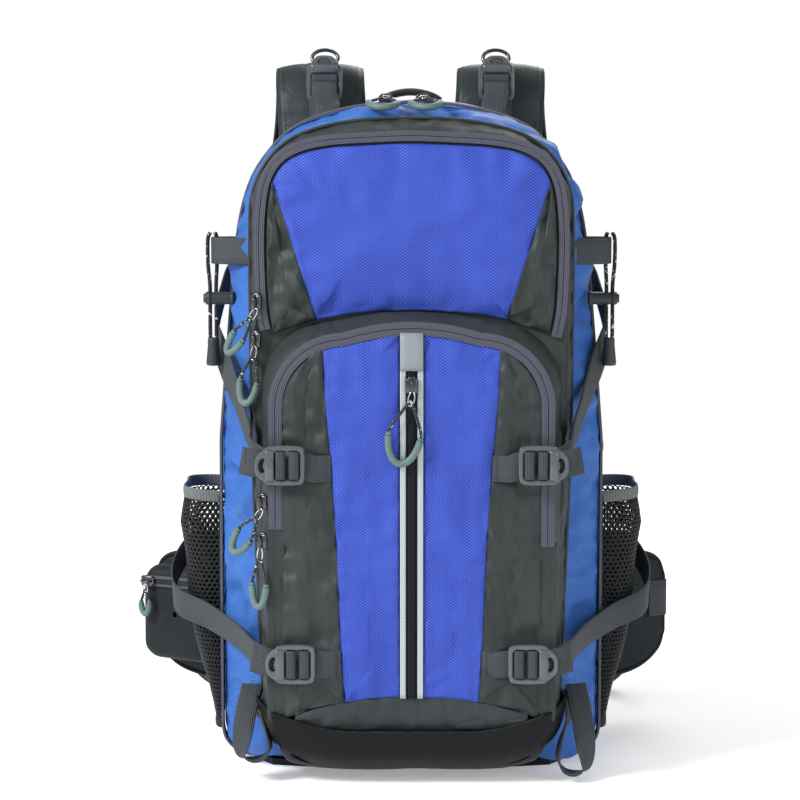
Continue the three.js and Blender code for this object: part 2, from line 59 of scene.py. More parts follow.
MM = 0.001
LEFT, RIGHT = -1, 1
SIDES = {LEFT: "left", RIGHT: "right"}

# %% [markdown]
# The camera stands about two metres in front, a little above the bag's middle, as goods are shown in a
# catalogue. Three big soft lamps and a bright room light the cloth evenly, and the floor takes a soft shadow.

# %% Camera, floor and lamps
AIM = Vector((-0.0085, 0, 0.277))
DISTANCE = 2.0
CAMERA_ELEVATION = math.radians(6)
LENS, SENSOR = 116.9, 36
ROOM_LIGHT, BACKDROP = 0.52, 1.0
LAMPS = {"key_lamp": ((-1.7, -1.1, 1.7), 66, 0.7), "fill_lamp": ((1.8, -1.7, 0.9), 14, 1.2),
         "rim_lamp": ((0.5, 1.8, 1.6), 20, 1.2)}


def new_object(name, data):
    made = bpy.data.objects.new(name, data)
    bpy.context.collection.objects.link(made)
    return made


def make_camera():
    data = bpy.data.cameras.new("camera")
    data.lens = LENS
    data.sensor_width = SENSOR
    camera = new_object("camera", data)
    away = Vector((0, -math.cos(CAMERA_ELEVATION), math.sin(CAMERA_ELEVATION)))
    camera.location = AIM + away * DISTANCE
    camera.rotation_euler = (-away).to_track_quat("-Z", "Y").to_euler()
    bpy.context.scene.camera = camera


def make_lamp(name, place, power, size):
    data = bpy.data.lights.new(name, "AREA")
    data.energy = power
    data.size = size
    lamp = new_object(name, data)
    lamp.location = place
    lamp.rotation_euler = (AIM - lamp.location).to_track_quat("-Z", "Y").to_euler()


make_camera()
for lamp_name, (place, power, size) in LAMPS.items():
    make_lamp(lamp_name, Vector(place), power, size)
bpy.context.scene.view_settings.view_transform = "Standard"
world = bpy.data.worlds.new("room")
world.use_nodes = True
room = world.node_tree.nodes["Background"]
room.inputs["Color"].default_value = (1, 1, 1, 1)
seen = world.node_tree.nodes.new("ShaderNodeLightPath")
strength = world.node_tree.nodes.new("ShaderNodeMapRange")
strength.inputs["To Min"].default_value = ROOM_LIGHT
strength.inputs["To Max"].default_value = BACKDROP
world.node_tree.links.new(seen.outputs["Is Camera Ray"], strength.inputs["Value"])
world.node_tree.links.new(strength.outputs["Result"], room.inputs["Strength"])
bpy.context.scene.world = world
staged = [o.name for o in bpy.context.collection.objects if o.type in ("CAMERA", "LIGHT")]
print("camera and lamps:", staged)

# %% [markdown]
# Most pieces are made from lines. A line through a few chosen points is a Catmull-Rom spline, then it is
# walked at even steps, so that a weave or a row of stitches printed along it stays even.

# %% Lines


def distances(line):
    """How far along a line each of its points is."""
    return np.concatenate([[0], np.cumsum(np.linalg.norm(np.diff(line, axis=0), axis=1))])


def resample(line, count):
    """The same line as `count` points at even steps."""
    line = np.asarray(line, float)
    walked = distances(line)
    even = np.linspace(0, walked[-1], count)
    return np.stack([np.interp(even, walked, line[:, k]) for k in range(line.shape[1])], axis=1)


FINE = 12


def spline(points, count):
    """A smooth line through the points, as `count` evenly spaced ones."""
    p = np.asarray(points, float)
    p = np.vstack([2 * p[0] - p[1], p, 2 * p[-1] - p[-2]])
    out = []
    for i in range(1, len(p) - 2):
        a, b, c, d = p[i - 1:i + 3]
        for t in np.arange(FINE) / FINE:
            bend = (2 * a - 5 * b + 4 * c - d) * t ** 2 + (3 * b - a - 3 * c + d) * t ** 3
            out.append(0.5 * (2 * b + (c - a) * t + bend))
    out.append(p[-2])
    return resample(out, count)


def length_of(line):
    return float(np.linalg.norm(np.diff(np.asarray(line), axis=0), axis=1).sum())


def unit(v):
    """Vectors of length 1, one a row."""
    v = np.asarray(v, float)
    return v / np.maximum(np.linalg.norm(v, axis=-1, keepdims=True), 1e-9)


print("a quarter circle of 100 mm is", round(length_of(spline([(100, 0), (71, 71), (0, 100)], 40))), "mm")

# %% [markdown]
# A mesh piece is made at its own place, with its object left at the origin. UV coordinates are in metres:
# u runs across a strip and v along it, so that ribs and twill follow the cloth round every bend.

# %% Meshes


def make_piece(name, points, faces, material, uvs=None, smooth=True):
    mesh = bpy.data.meshes.new(name)
    places = [tuple(p * MM) for p in np.asarray(points, float)]
    mesh.from_pydata(places, [], [tuple(int(i) for i in f) for f in faces])
    mesh.update()
    if uvs is not None:
        layer = mesh.uv_layers.new(name="weave")
        loops = np.empty(len(mesh.loops), int)
        mesh.loops.foreach_get("vertex_index", loops)
        layer.data.foreach_set("uv", (np.asarray(uvs)[loops] * MM).ravel())
    for polygon in mesh.polygons:
        polygon.use_smooth = smooth
    piece = new_object(name, mesh)
    mesh.materials.append(material)
    return piece


def grid_faces(rows, cols, wrap=False):
    """Quads of a grid stored row by row; `wrap` joins each row's end to its start."""
    faces = []
    for i in range(rows - 1):
        for j in range(cols if wrap else cols - 1):
            k = (j + 1) % cols
            faces.append((i * cols + j, i * cols + k, (i + 1) * cols + k, (i + 1) * cols + j))
    return faces


def outward(piece):
    """Turn the faces of a closed mesh outwards."""
    mesh = bmesh.new()
    mesh.from_mesh(piece.data)
    bmesh.ops.remove_doubles(mesh, verts=mesh.verts, dist=1e-6)
    bmesh.ops.recalc_face_normals(mesh, faces=mesh.faces)
    mesh.to_mesh(piece.data)
    mesh.free()
    return piece


def apply_modifiers(piece):
    """Leave the plain mesh that the modifiers give."""
    bpy.context.view_layer.update()
    made = bpy.data.meshes.new_from_object(piece.evaluated_get(bpy.context.evaluated_depsgraph_get()))
    made.name = piece.name
    piece.modifiers.clear()
    piece.data = made
    return piece


def thicken(piece, thickness):
    """Give a sheet its thickness, inwards from its face, and leave a plain closed mesh."""
    wall = piece.modifiers.new("wall", "SOLIDIFY")
    wall.thickness = thickness * MM
    wall.offset = -1
    wall.use_even_offset = False
    return apply_modifiers(piece)


def rod_faces(steps, count):
    """Faces of a section of `count` points carried over `steps` places, with its ends capped."""
    last = (steps - 1) * count
    caps = [tuple(range(count)), tuple(reversed(range(last, last + count)))]
    return grid_faces(steps, count, wrap=True) + caps


def sweep(name, line, across, section, material, closed=False):
    """A section of (x, y) points carried along a line; its x keeps to `across` as far as the line allows."""
    line = np.asarray(line, float)
    ahead = np.roll(line, -1, 0) - np.roll(line, 1, 0)
    if not closed:
        ahead[0], ahead[-1] = line[1] - line[0], line[-1] - line[-2]
    ahead = unit(ahead)
    side = np.broadcast_to(np.asarray(across, float), line.shape)
    side = unit(side - ahead * (side * ahead).sum(1, keepdims=True))
    normal = np.cross(ahead, side)
    section = np.asarray(section, float)
    count = len(section)
    points = line[:, None] + side[:, None] * section[None, :, :1] + normal[:, None] * section[None, :, 1:]
    uvs = np.stack([np.tile(section[:, 0], len(line)), np.repeat(distances(line), count)], 1)
    faces = [f[::-1] for f in grid_faces(len(line), count, wrap=True)]
    if closed:
        last = (len(line) - 1) * count
        faces += [(last + j, j, (j + 1) % count, last + (j + 1) % count) for j in range(count)]
    else:
        faces += [tuple(range(count)), tuple(reversed(range((len(line) - 1) * count, len(line) * count)))]
    return outward(make_piece(name, points.reshape(-1, 3), faces, material, uvs))


def round_section(radius, sides):
    turns = np.arange(sides) / sides * 2 * math.pi
    return np.stack([radius * np.cos(turns), radius * np.sin(turns)], 1)


def soft_section(width, height, power, count=28):
    """A flat, round-edged section: a superellipse."""
    turns = np.arange(count) / count * 2 * math.pi
    c, s = np.cos(turns), np.sin(turns)
    x = np.sign(c) * np.abs(c) ** (2 / power) * width / 2
    y = np.sign(s) * np.abs(s) ** (2 / power) * height / 2
    return np.stack([x, y], 1)


def tube(name, points, radius, material, sides, steps=None, closed=False):
    line = np.asarray(points, float) if steps is None else spline(points, steps)
    return sweep(name, line, (0.31, 0.57, 0.76), round_section(radius, sides), material, closed)


def webbing_section(width, thick):
    """Flat webbing with rounded selvedges, which keep to its width."""
    w, t = width / 2, thick / 2
    edge = min(0.35 * thick, 0.6)
    return [(-w, -t + edge), (-w + edge, -t), (-w / 3, -t), (w / 3, -t), (w - edge, -t), (w, -t + edge),
            (w, t - edge), (w - edge, t), (w / 3, t), (-w / 3, t), (-w + edge, t), (-w, t - edge)]


def webbing(name, points, across, material, width=20.0, thick=1.6, steps=60):
    """Webbing through a few points; `across` is the direction of its width, one or several on the way."""
    across = np.asarray(across, float)
    if across.ndim == 2:
        at = np.linspace(0, 1, steps)
        known = np.linspace(0, 1, len(across))
        across = np.stack([np.interp(at, known, across[:, k]) for k in range(3)], 1)
    return sweep(name, spline(points, steps), across, webbing_section(width, thick), material)


print("mesh helpers ready")
# %% [markdown]
# Every finish is a small node tree on the cloth's own UVs (metres, u across and v along) or on object
# coordinates. Nylon is a wave pattern fine enough to read as yarn, with creases from a slow noise.

# %% Material tools
PLASTIC_GREY = (0.075, 0.090, 0.095)


class Nodes:
    """A short way to build a material's node tree."""

    def __init__(self, name, rough=0.6, specular=0.4, metal=0.0, sheen=0.0):
        self.material = bpy.data.materials.new(name)
        self.material.use_nodes = True
        self.tree = self.material.node_tree
        self.shader = self.tree.nodes["Principled BSDF"]
        self.shader.inputs["Roughness"].default_value = rough
        self.shader.inputs["Specular IOR Level"].default_value = specular
        self.shader.inputs["Metallic"].default_value = metal
        self.shader.inputs["Sheen Weight"].default_value = sheen
        self.shader.inputs["Sheen Roughness"].default_value = 0.5

    def add(self, kind, settings=None, **inputs):
        node = self.tree.nodes.new(kind)
        for key, value in (settings or {}).items():
            setattr(node, key, value)
        for key, value in inputs.items():
            numbered = key[0] == "i" and key[1:].isdigit()
            self.feed(node.inputs[int(key[1:]) if numbered else key], value)
        return node

    def feed(self, socket, value):
        if isinstance(value, bpy.types.NodeSocket):
            self.tree.links.new(value, socket)
        elif socket.type == "RGBA":
            socket.default_value = (*value, 1)
        else:
            socket.default_value = value

    def weave_uv(self):
        return self.add("ShaderNodeUVMap", {"uv_map": "weave"}).outputs["UV"]

    def place(self):
        return self.add("ShaderNodeTexCoord").outputs["Object"]

    def scaled(self, vector, scale, turn=0.0):
        node = self.add("ShaderNodeMapping", Vector=vector, Scale=scale, Rotation=(0, 0, turn))
        return node.outputs["Vector"]

    def wave(self, vector, direction="X", scale=1.0):
        settings = {"bands_direction": direction, "wave_profile": "SIN"}
        return self.add("ShaderNodeTexWave", settings, Vector=vector, Scale=scale).outputs["Fac"]

    def crossed(self, vector, warp, weft=None):
        """Yarns one over the other, `warp` and `weft` mm apart."""
        one = self.wave(vector, "X", periods(warp))
        return self.math("MULTIPLY", one, self.wave(vector, "Y", periods(weft or warp)))

    def noise(self, vector, scale, detail=2.0, rough=0.5, distortion=0.0):
        node = self.add("ShaderNodeTexNoise", Vector=vector, Scale=scale, Detail=detail, Roughness=rough,
                        Distortion=distortion)
        return node.outputs["Fac"]

    def math(self, operation, a, b=0.0):
        return self.add("ShaderNodeMath", {"operation": operation}, i0=a, i1=b).outputs[0]

    def ramp(self, value, low, high, start=0.0, end=1.0):
        node = self.add("ShaderNodeMapRange", Value=value, i1=start, i2=end, i3=low, i4=high)
        return node.outputs["Result"]

    def mix(self, factor, a, b):
        node = self.add("ShaderNodeMix", {"data_type": "RGBA"})
        for key, kind, value in (("Factor", "VALUE", factor), ("A", "RGBA", a), ("B", "RGBA", b)):
            self.feed(next(s for s in node.inputs if s.name == key and s.type == kind), value)
        return next(s for s in node.outputs if s.type == "RGBA")

    def colour(self, value):
        self.feed(self.shader.inputs["Base Color"], value)

    def bump(self, height, depth_mm, strength=1.0, before=None):
        inputs = {"Height": height, "Distance": depth_mm * MM, "Strength": strength}
        if before is not None:
            inputs["Normal"] = before
        out = self.add("ShaderNodeBump", **inputs).outputs["Normal"]
        self.tree.links.new(out, self.shader.inputs["Normal"])
        return out


def shade(colour, factor):
    return tuple(c * factor for c in colour)


def periods(mm):
    """Texture scale that gives one wave each `mm` on coordinates in metres."""
    return 1000.0 / mm / 20 * 2 * math.pi


print("material tools ready, one band each millimetre is scale", round(periods(1), 1))
# %% The cloth finishes


def ripstop_finish():
    """Royal blue diamond ripstop: a lattice of thicker yarns round lighter and darker diamonds."""
    n = Nodes("blue_ripstop_cloth", rough=0.5, specular=0.2)
    uv = n.weave_uv()
    diamonds = n.scaled(n.scaled(uv, (310, 430, 1)), (1, 1, 1), 0.7854)
    one = n.wave(diamonds, "X", scale=0.444)
    two = n.wave(diamonds, "Y", scale=0.444)
    lattice = n.math("MAXIMUM", n.math("POWER", one, 5.0), n.math("POWER", two, 5.0))
    fill = n.math("MULTIPLY", n.math("SUBTRACT", 1.0, one), n.math("SUBTRACT", 1.0, two))
    soft = n.noise(n.place(), 22.0, 2.0)
    base = n.mix(n.ramp(soft, 0.0, 1.0, 0.35, 0.65), (0.030, 0.062, 0.39), (0.040, 0.080, 0.46))
    light = n.mix(n.ramp(fill, 0.0, 0.85, 0.1, 0.8), base, (0.068, 0.130, 0.62))
    n.colour(n.mix(n.math("MULTIPLY", lattice, 0.7), light, (0.024, 0.045, 0.30)))
    yarn = n.crossed(uv, 0.5)
    fine = n.bump(yarn, 0.05, 0.5)
    n.bump(lattice, 0.22, 0.8, fine)
    return n.material


def nylon_finish(name, dark, light, twill=0.55, rough=0.55, crease=4.0):
    """Plain dense nylon: close yarns, streaks along the warp and a slow change of shade."""
    n = Nodes(name, rough=rough, specular=0.22)
    uv = n.weave_uv()
    streaks = n.noise(n.scaled(uv, (1400, 60, 1)), 1.0, 3.0, 0.6)
    clouds = n.noise(n.place(), 16.0, 3.0)
    shade_of = n.math("ADD", n.math("MULTIPLY", streaks, 0.5), n.math("MULTIPLY", clouds, 0.5))
    n.colour(n.mix(n.ramp(shade_of, 0.0, 1.0, 0.3, 0.7), dark, light))
    yarn = n.crossed(uv, twill, twill * 1.1)
    fine = n.bump(yarn, 0.06, 0.5)
    small = n.bump(n.noise(n.place(), 120.0, 3.0, 0.55), 1.4, 0.25, fine)
    wide = n.noise(n.scaled(n.place(), (0.7, 0.8, 1.1)), 30.0, 2.0, 0.5, 0.4)
    ridge = n.math("ABSOLUTE", n.math("SUBTRACT", wide, 0.5))
    n.bump(n.math("POWER", ridge, 0.7), crease, 0.7, small)
    return n.material


def rib_finish(name, dark, light, pitch=1.3, across=True, rough=0.62, depth=0.3):
    """Ribbed cloth or webbing: ridges every `pitch`, run across the strip or along it."""
    n = Nodes(name, rough=rough, specular=0.2)
    uv = n.weave_uv()
    ribs = n.wave(uv, "Y" if across else "X", scale=periods(pitch))
    yarn = n.wave(uv, "X" if across else "Y", scale=periods(0.8))
    cloth = n.math("MULTIPLY", n.math("POWER", ribs, 0.7), n.ramp(yarn, 0.75, 1.0))
    fleck = n.noise(n.scaled(uv, (900, 900, 1)), 1.0, 2.0)
    tone = n.math("MULTIPLY", cloth, n.ramp(fleck, 0.7, 1.15, 0.3, 0.7))
    n.colour(n.mix(tone, dark, light))
    n.bump(cloth, depth, 0.9)
    return n.material


def plain_finish(name, colour, rough=0.4, metal=0.0, specular=0.5, grain=0.0, coat=0.0):
    n = Nodes(name, rough=rough, specular=specular, metal=metal)
    n.shader.inputs["Coat Weight"].default_value = coat
    speck = n.noise(n.place(), 900.0, 2.0)
    n.colour(n.mix(n.ramp(speck, 0.0, 1.0, 0.3, 0.7), shade(colour, 0.9), shade(colour, 1.1)))
    if grain:
        n.bump(speck, grain, 0.6)
    return n.material


def reflective_finish():
    """Silver reflective tape: tiny glass beads on an open cloth."""
    n = Nodes("reflective_tape", rough=0.42, specular=0.6, metal=0.25)
    uv = n.weave_uv()
    grid = n.crossed(uv, 1.1)
    n.colour(n.mix(grid, (0.36, 0.40, 0.42), (0.62, 0.68, 0.70)))
    n.bump(grid, 0.12, 0.6)
    return n.material


def cord_finish(name, base, fleck, share=0.62):
    """Braided cord: slanted strands with light marker yarns."""
    n = Nodes(name, rough=0.7, specular=0.3, sheen=0.2)
    uv = n.weave_uv()
    braid = n.wave(n.scaled(uv, (1, 1, 1), 0.7), "X", scale=periods(1.3))
    other = n.wave(n.scaled(uv, (1, 1, 1), -0.7), "X", scale=periods(1.3))
    spots = n.noise(n.place(), 420.0, 1.0)
    n.colour(n.mix(n.ramp(spots, 0.0, 1.0, share, share + 0.04), base, fleck))
    n.bump(n.math("MAXIMUM", braid, other), 0.35, 0.9)
    return n.material


def spacer_finish(name, thread, hole):
    """Air mesh: rows of small round holes in a knitted face."""
    n = Nodes(name, rough=0.85, specular=0.2, sheen=0.3)
    uv = n.weave_uv()
    rows = n.wave(uv, scale=periods(3.2))
    lines = n.wave(n.scaled(uv, (1, 1, 1), 0.9), scale=periods(3.2))
    pores = n.math("MULTIPLY", rows, lines)
    n.colour(n.mix(n.ramp(pores, 0.0, 1.0, 0.25, 0.5), hole, thread))
    n.bump(n.ramp(pores, 0.0, 1.0, 0.2, 0.55), 0.8, 0.9)
    return n.material


RIPSTOP = ripstop_finish()
BLUE = nylon_finish("blue_nylon_cloth", (0.022, 0.085, 0.32), (0.042, 0.148, 0.46), 0.8, crease=3.0)
GREY = nylon_finish("grey_nylon_cloth", (0.018, 0.0235, 0.024), (0.043, 0.052, 0.052), 0.6, 0.5, 1.4)
TAPE = rib_finish("zip_tape_cloth", (0.058, 0.060, 0.080), (0.094, 0.097, 0.128), 1.4, across=False)
BASE = rib_finish("base_cloth", (0.0007, 0.0009, 0.0015), (0.0038, 0.0047, 0.0068), 2.2, False, 0.45, 0.35)
WEBBING = rib_finish("strap_webbing", (0.032, 0.037, 0.042), (0.066, 0.077, 0.087), 1.6, across=False)
BINDING = rib_finish("edge_binding", (0.006, 0.008, 0.0095), (0.03, 0.036, 0.04), pitch=0.9)
ELASTIC = rib_finish("elastic_binding", (0.06, 0.065, 0.07), (0.24, 0.25, 0.26), pitch=1.2)
STRAP_CLOTH = nylon_finish("strap_cloth", (0.014, 0.0205, 0.022), (0.032, 0.042, 0.045), 0.9, 0.45, 1.6)
WING_CLOTH = nylon_finish("wing_cloth", (0.0045, 0.0075, 0.009), (0.012, 0.0175, 0.0205), 1.2, 0.6, 2.0)
AIR_MESH = spacer_finish("air_mesh_cloth", (0.014, 0.018, 0.02), (0.002, 0.002, 0.003))
NET = nylon_finish("stretch_net", (0.004, 0.005, 0.006), (0.016, 0.018, 0.02), twill=0.7, rough=0.6)
REFLECTIVE = reflective_finish()
PLASTIC = plain_finish("buckle_plastic_gloss", PLASTIC_GREY, rough=0.24, specular=0.5, grain=0.012, coat=0.3)
COIL = plain_finish("coil_black", (0.006, 0.007, 0.008), rough=0.35)
METAL = plain_finish("slider_gunmetal", (0.105, 0.105, 0.11), rough=0.3, metal=1.0)
WIRE = plain_finish("bail_wire", (0.62, 0.64, 0.66), rough=0.2, metal=1.0)
RUBBER = plain_finish("pull_rubber_sage", (0.10, 0.165, 0.155), rough=0.55, grain=0.02)
DARK_RUBBER = plain_finish("cord_end_rubber", (0.02, 0.023, 0.026), rough=0.5)
CORD = cord_finish("pull_cord", (0.016, 0.022, 0.024), (0.42, 0.46, 0.46))
ELASTIC_CORD = cord_finish("shock_cord_braid", (0.006, 0.008, 0.01), (0.5, 0.54, 0.55), share=0.64)
THREAD = plain_finish("thread_grey", (0.10, 0.11, 0.12), rough=0.6)
DARK_THREAD = plain_finish("thread_dark", (0.012, 0.013, 0.016), rough=0.6)
BLUE_THREAD = plain_finish("thread_light_blue", (0.22, 0.36, 0.75), rough=0.6)
SHEET_PLASTIC = plain_finish("frame_sheet_plastic", (0.02, 0.02, 0.022), rough=0.5)
FLOOR = plain_finish("floor_white", (0.9, 0.9, 0.9), rough=0.9, specular=0.1)
FLOOR_GLOW = 0.30
floor_shader = FLOOR.node_tree.nodes["Principled BSDF"]
floor_shader.inputs["Emission Color"].default_value = (1, 1, 1, 1)
floor_shader.inputs["Emission Strength"].default_value = FLOOR_GLOW
print("finishes:", len(bpy.data.materials))

# %% [markdown]
# The engineering nodes that stay visible take the finish of their material slot; most are replaced below.

# %% Finishes of the frame's own pieces
SLOT_FINISH = {
    "blue_nylon": BLUE, "blue_ripstop": RIPSTOP, "grey_nylon": GREY, "black_base": BASE, "black_mesh": NET,
    "sheet_plastic": SHEET_PLASTIC, "webbing": WEBBING, "buckle_plastic": PLASTIC,
    "elastic_cord": ELASTIC_CORD, "slider_metal": METAL, "pull_rubber": RUBBER,
}
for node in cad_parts.values():
    slot_name = node.data.materials[0].name.split(".")[0]
    node.data.materials.clear()
    node.data.materials.append(SLOT_FINISH[slot_name])
print("nodes with a finish:", len(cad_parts))


def put(piece, body, replaces=()):
    """The piece moves with a body and stands for CAD nodes."""
    if body:
        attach(piece, body)
    if replaces:
        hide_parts(*replaces)
    return piece


def put_blend(piece, bodies, start, end, slot, replaces=()):
    """The piece keeps its place and stands for CAD nodes; bodies, the two points start and end (in
    millimetres) and slot are not used.
    """
    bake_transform(piece)
    return put(piece, None, replaces)


FLOOR_REACH = 1600
turns = np.linspace(0, 2 * math.pi, 64, endpoint=False)
floor_ring = np.stack([FLOOR_REACH * np.cos(turns), FLOOR_REACH * np.sin(turns), 0 * turns], 1)
floor = make_piece("floor", floor_ring, [tuple(range(64))], FLOOR, smooth=False)

# %% [markdown]
# The two shock cords are 3 mm elastic in a braided sheath. Each is one length: out of the pole loop, down
# through the lock to the bell that hides its knot, and back up into the loop.

# %% Shock cords
CORD_X, CORD_Y, STRAND = 149, -38, 2.3
CORD_LINE = [(1.8, 0, 407.3), (3.6, -1, 402), (3.6, -1, 384), (STRAND, 0, 368), (STRAND, 0, 350),
             (STRAND, 0, 330), (1.9, 0, 323), (0, 0, 320), (-1.9, 0, 323), (-STRAND, 0, 330),
             (-STRAND, 0, 350), (-STRAND, 0, 368), (-3, 1, 384), (-3, 1.5, 402), (-1.8, 0.5, 407.3)]
CORD_DIAMETER = 3
shock_cords = {}
for side, word in SIDES.items():
    line = spline([((CORD_X + x) * side, CORD_Y + y, z) for x, y, z in CORD_LINE], 160)
    data = bpy.data.curves.new(f"shock_cord_line_{word}", "CURVE")
    data.dimensions = "3D"
    data.bevel_depth = CORD_DIAMETER / 2 * MM
    data.bevel_resolution = 4
    data.use_fill_caps = True
    strand = data.splines.new("POLY")
    strand.points.add(len(line) - 1)
    for point, place in zip(strand.points, line):
        point.co = (*(place * MM), 1)
    cord = new_object(f"shock_cord_line_{word}", data)
    data.materials.append(ELASTIC_CORD)
    put(cord, "top", [f"shock_cord_{word}"])
    shock_cords[side] = (cord, line)
print("shock cords, each", round(length_of(line)), "mm long")
# %% [markdown]
# Stitches, zip coils and other rows of small equal shapes come from one Geometry Nodes tree. It walks a line
# at an even pitch, sets a small rounded bead on each step, long across or along, and gives it a material.
# The stored `up` attribute tells each bead which way the cloth faces.

# %% The bead-row tree


def bead_tree():
    tree = bpy.data.node_groups.new("bead_row", "GeometryNodeTree")
    face = tree.interface
    for name, kind in (("Line", "Geometry"), ("Pitch", "Float"), ("Size", "Vector"), ("Finish", "Material")):
        face.new_socket(name, in_out="INPUT", socket_type="NodeSocket" + kind)
    face.new_socket("Beads", in_out="OUTPUT", socket_type="NodeSocketGeometry")
    new = tree.nodes.new
    start, end = new("NodeGroupInput"), new("NodeGroupOutput")
    curve = new("GeometryNodeMeshToCurve")
    walk = new("GeometryNodeResampleCurve")
    walk.mode = "LENGTH"
    tangent = new("GeometryNodeInputTangent")
    up = new("GeometryNodeInputNamedAttribute")
    up.data_type = "FLOAT_VECTOR"
    up.inputs["Name"].default_value = "up"
    along = new("FunctionNodeAlignRotationToVector")
    along.axis = "X"
    facing = new("FunctionNodeAlignRotationToVector")
    facing.axis = "Z"
    facing.pivot_axis = "X"
    bead = new("GeometryNodeMeshUVSphere")
    for name, value in (("Segments", 8), ("Rings", 5), ("Radius", 0.5)):
        bead.inputs[name].default_value = value
    smooth = new("GeometryNodeSetShadeSmooth")
    place = new("GeometryNodeInstanceOnPoints")
    real = new("GeometryNodeRealizeInstances")
    finish = new("GeometryNodeSetMaterial")
    for source, output, target, entry in (
            (start, "Line", curve, "Mesh"), (curve, "Curve", walk, "Curve"), (start, "Pitch", walk, "Length"),
            (tangent, "Tangent", along, "Vector"), (along, "Rotation", facing, "Rotation"),
            (up, "Attribute", facing, "Vector"), (bead, "Mesh", smooth, "Geometry"),
            (walk, "Curve", place, "Points"), (smooth, "Geometry", place, "Instance"),
            (facing, "Rotation", place, "Rotation"), (start, "Size", place, "Scale"),
            (place, "Instances", real, "Geometry"), (real, "Geometry", finish, "Geometry"),
            (start, "Finish", finish, "Material"), (finish, "Geometry", end, "Beads")):
        tree.links.new(source.outputs[output], target.inputs[entry])
    return tree


BEADS = bead_tree()
SOCKET = {item.name: item.identifier for item in BEADS.interface.items_tree if item.in_out == "INPUT"}
print("bead tree inputs:", list(SOCKET))


def beads(name, line, up, pitch, size, material, lift=0.0):
    """A row of beads along a line. `size` is (along, across, up) in mm; `up` is one normal or one a point."""
    line = np.asarray(line, float)
    up = unit(np.broadcast_to(np.asarray(up, float), line.shape))
    mesh = bpy.data.meshes.new(name)
    points = (line + up * lift) * MM
    mesh.from_pydata([tuple(p) for p in points], [(i, i + 1) for i in range(len(line) - 1)], [])
    normals = mesh.attributes.new("up", "FLOAT_VECTOR", "POINT")
    normals.data.foreach_set("vector", up.ravel())
    piece = new_object(name, mesh)
    row = piece.modifiers.new("row", "NODES")
    row.node_group = BEADS
    row[SOCKET["Pitch"]] = pitch * MM
    row[SOCKET["Size"]] = [c * MM for c in size]
    row[SOCKET["Finish"]] = material
    return apply_modifiers(piece)


def stitches(name, line, up, material, pitch=3.2, lift=0.15):
    """A row of stitches: long beads with a short gap between them."""
    return beads(name, line, up, pitch, (pitch * 0.74, 0.55, 0.5), material, lift)


# %% [markdown]
# The bag is cut from flat panels. Each panel here is a grid of points on the frame's surface, lifted by three
# things real cloth does: it swells between its seams, it gathers into short puckers at a seam, and it falls
# into slow soft folds. Noise is read at the point's own place, so it never changes between runs.

# %% Cloth tools


def wobble(points, size, seed):
    """Smooth noise in -1..1 for each point, with features about `size` mm wide."""
    stretch = np.broadcast_to(np.asarray(size, float), (3,))
    flat = (np.asarray(points, float).reshape(-1, 3) / stretch) + seed * 7.31
    return np.array([noise.noise(Vector(p)) for p in flat]).reshape(np.shape(points)[:-1])


def grid_normals(grid, closed):
    """Outward normals of a grid of points (rows x columns x 3)."""
    down = np.gradient(grid, axis=0)
    if closed:
        along = (np.roll(grid, -1, 1) - np.roll(grid, 1, 1)) / 2
    else:
        along = np.gradient(grid, axis=1)
    return unit(np.cross(along, down))


def arch_ring(arch, foot, corner, count):
    """The bag's closed outline (x, z) from an arch of (half width, z); it starts mid foot, rightwards."""
    arch = np.asarray(arch, float)
    half = arch[0, 0]
    turns = np.linspace(-math.pi / 2, 0, 8)
    low = np.stack([half - corner + corner * np.cos(turns), foot + corner + corner * np.sin(turns)], 1)
    mirrored = arch[:-1][::-1] * [-1, 1]
    over = spline(np.vstack([arch, mirrored]), 160)
    right = np.vstack([[(0, foot)], low])
    left = right[::-1] * [-1, 1]
    return resample(np.vstack([right, over, left]), count + 1)[:-1]


RING_POINTS = 400
REAR_ARCH = [[146, 250], [140, 325], [133, 400], [124, 440], [109, 466], [86, 487], [46, 500], [0, 504]]
FRONT_ARCH = [[114, 250], [115.5, 325], [117, 400], [116, 436], [103, 463], [81, 479], [44, 488], [0, 490]]


def bag_ring(foot, front=0.0, inset=0.0, narrow=1.0, low=1.0):
    """The bag's outline between its rear arch (front 0) and its front one, which narrows to its foot."""
    rear, fore = np.array(REAR_ARCH, float), np.array(FRONT_ARCH, float)
    arch = rear + (fore - rear) * front
    arch = arch * [narrow, low]
    arch[:, 0] = np.maximum(arch[:, 0] - inset, 0)
    arch[:, 1] -= inset
    ring = arch_ring(arch, foot + inset, 22, RING_POINTS)
    ring[:, 0] *= 1 - 0.07 * front * np.clip((250 - ring[:, 1]) / 190, 0, 1)
    return ring


def loft_grid(levels, rows):
    """A fine grid through a few rings, each (y, ring of x, z)."""
    stack = np.array([[(x, y, z) for x, z in ring] for y, ring in levels])
    steps = np.linspace(0, len(levels) - 1, rows)
    out = np.empty((rows, stack.shape[1], 3))
    for j in range(stack.shape[1]):
        for k in range(3):
            out[:, j, k] = np.interp(steps, range(len(levels)), stack[:, j, k])
    return out


GATHER_SIZE = (26 * 0.35, 26, 26 * 0.35)


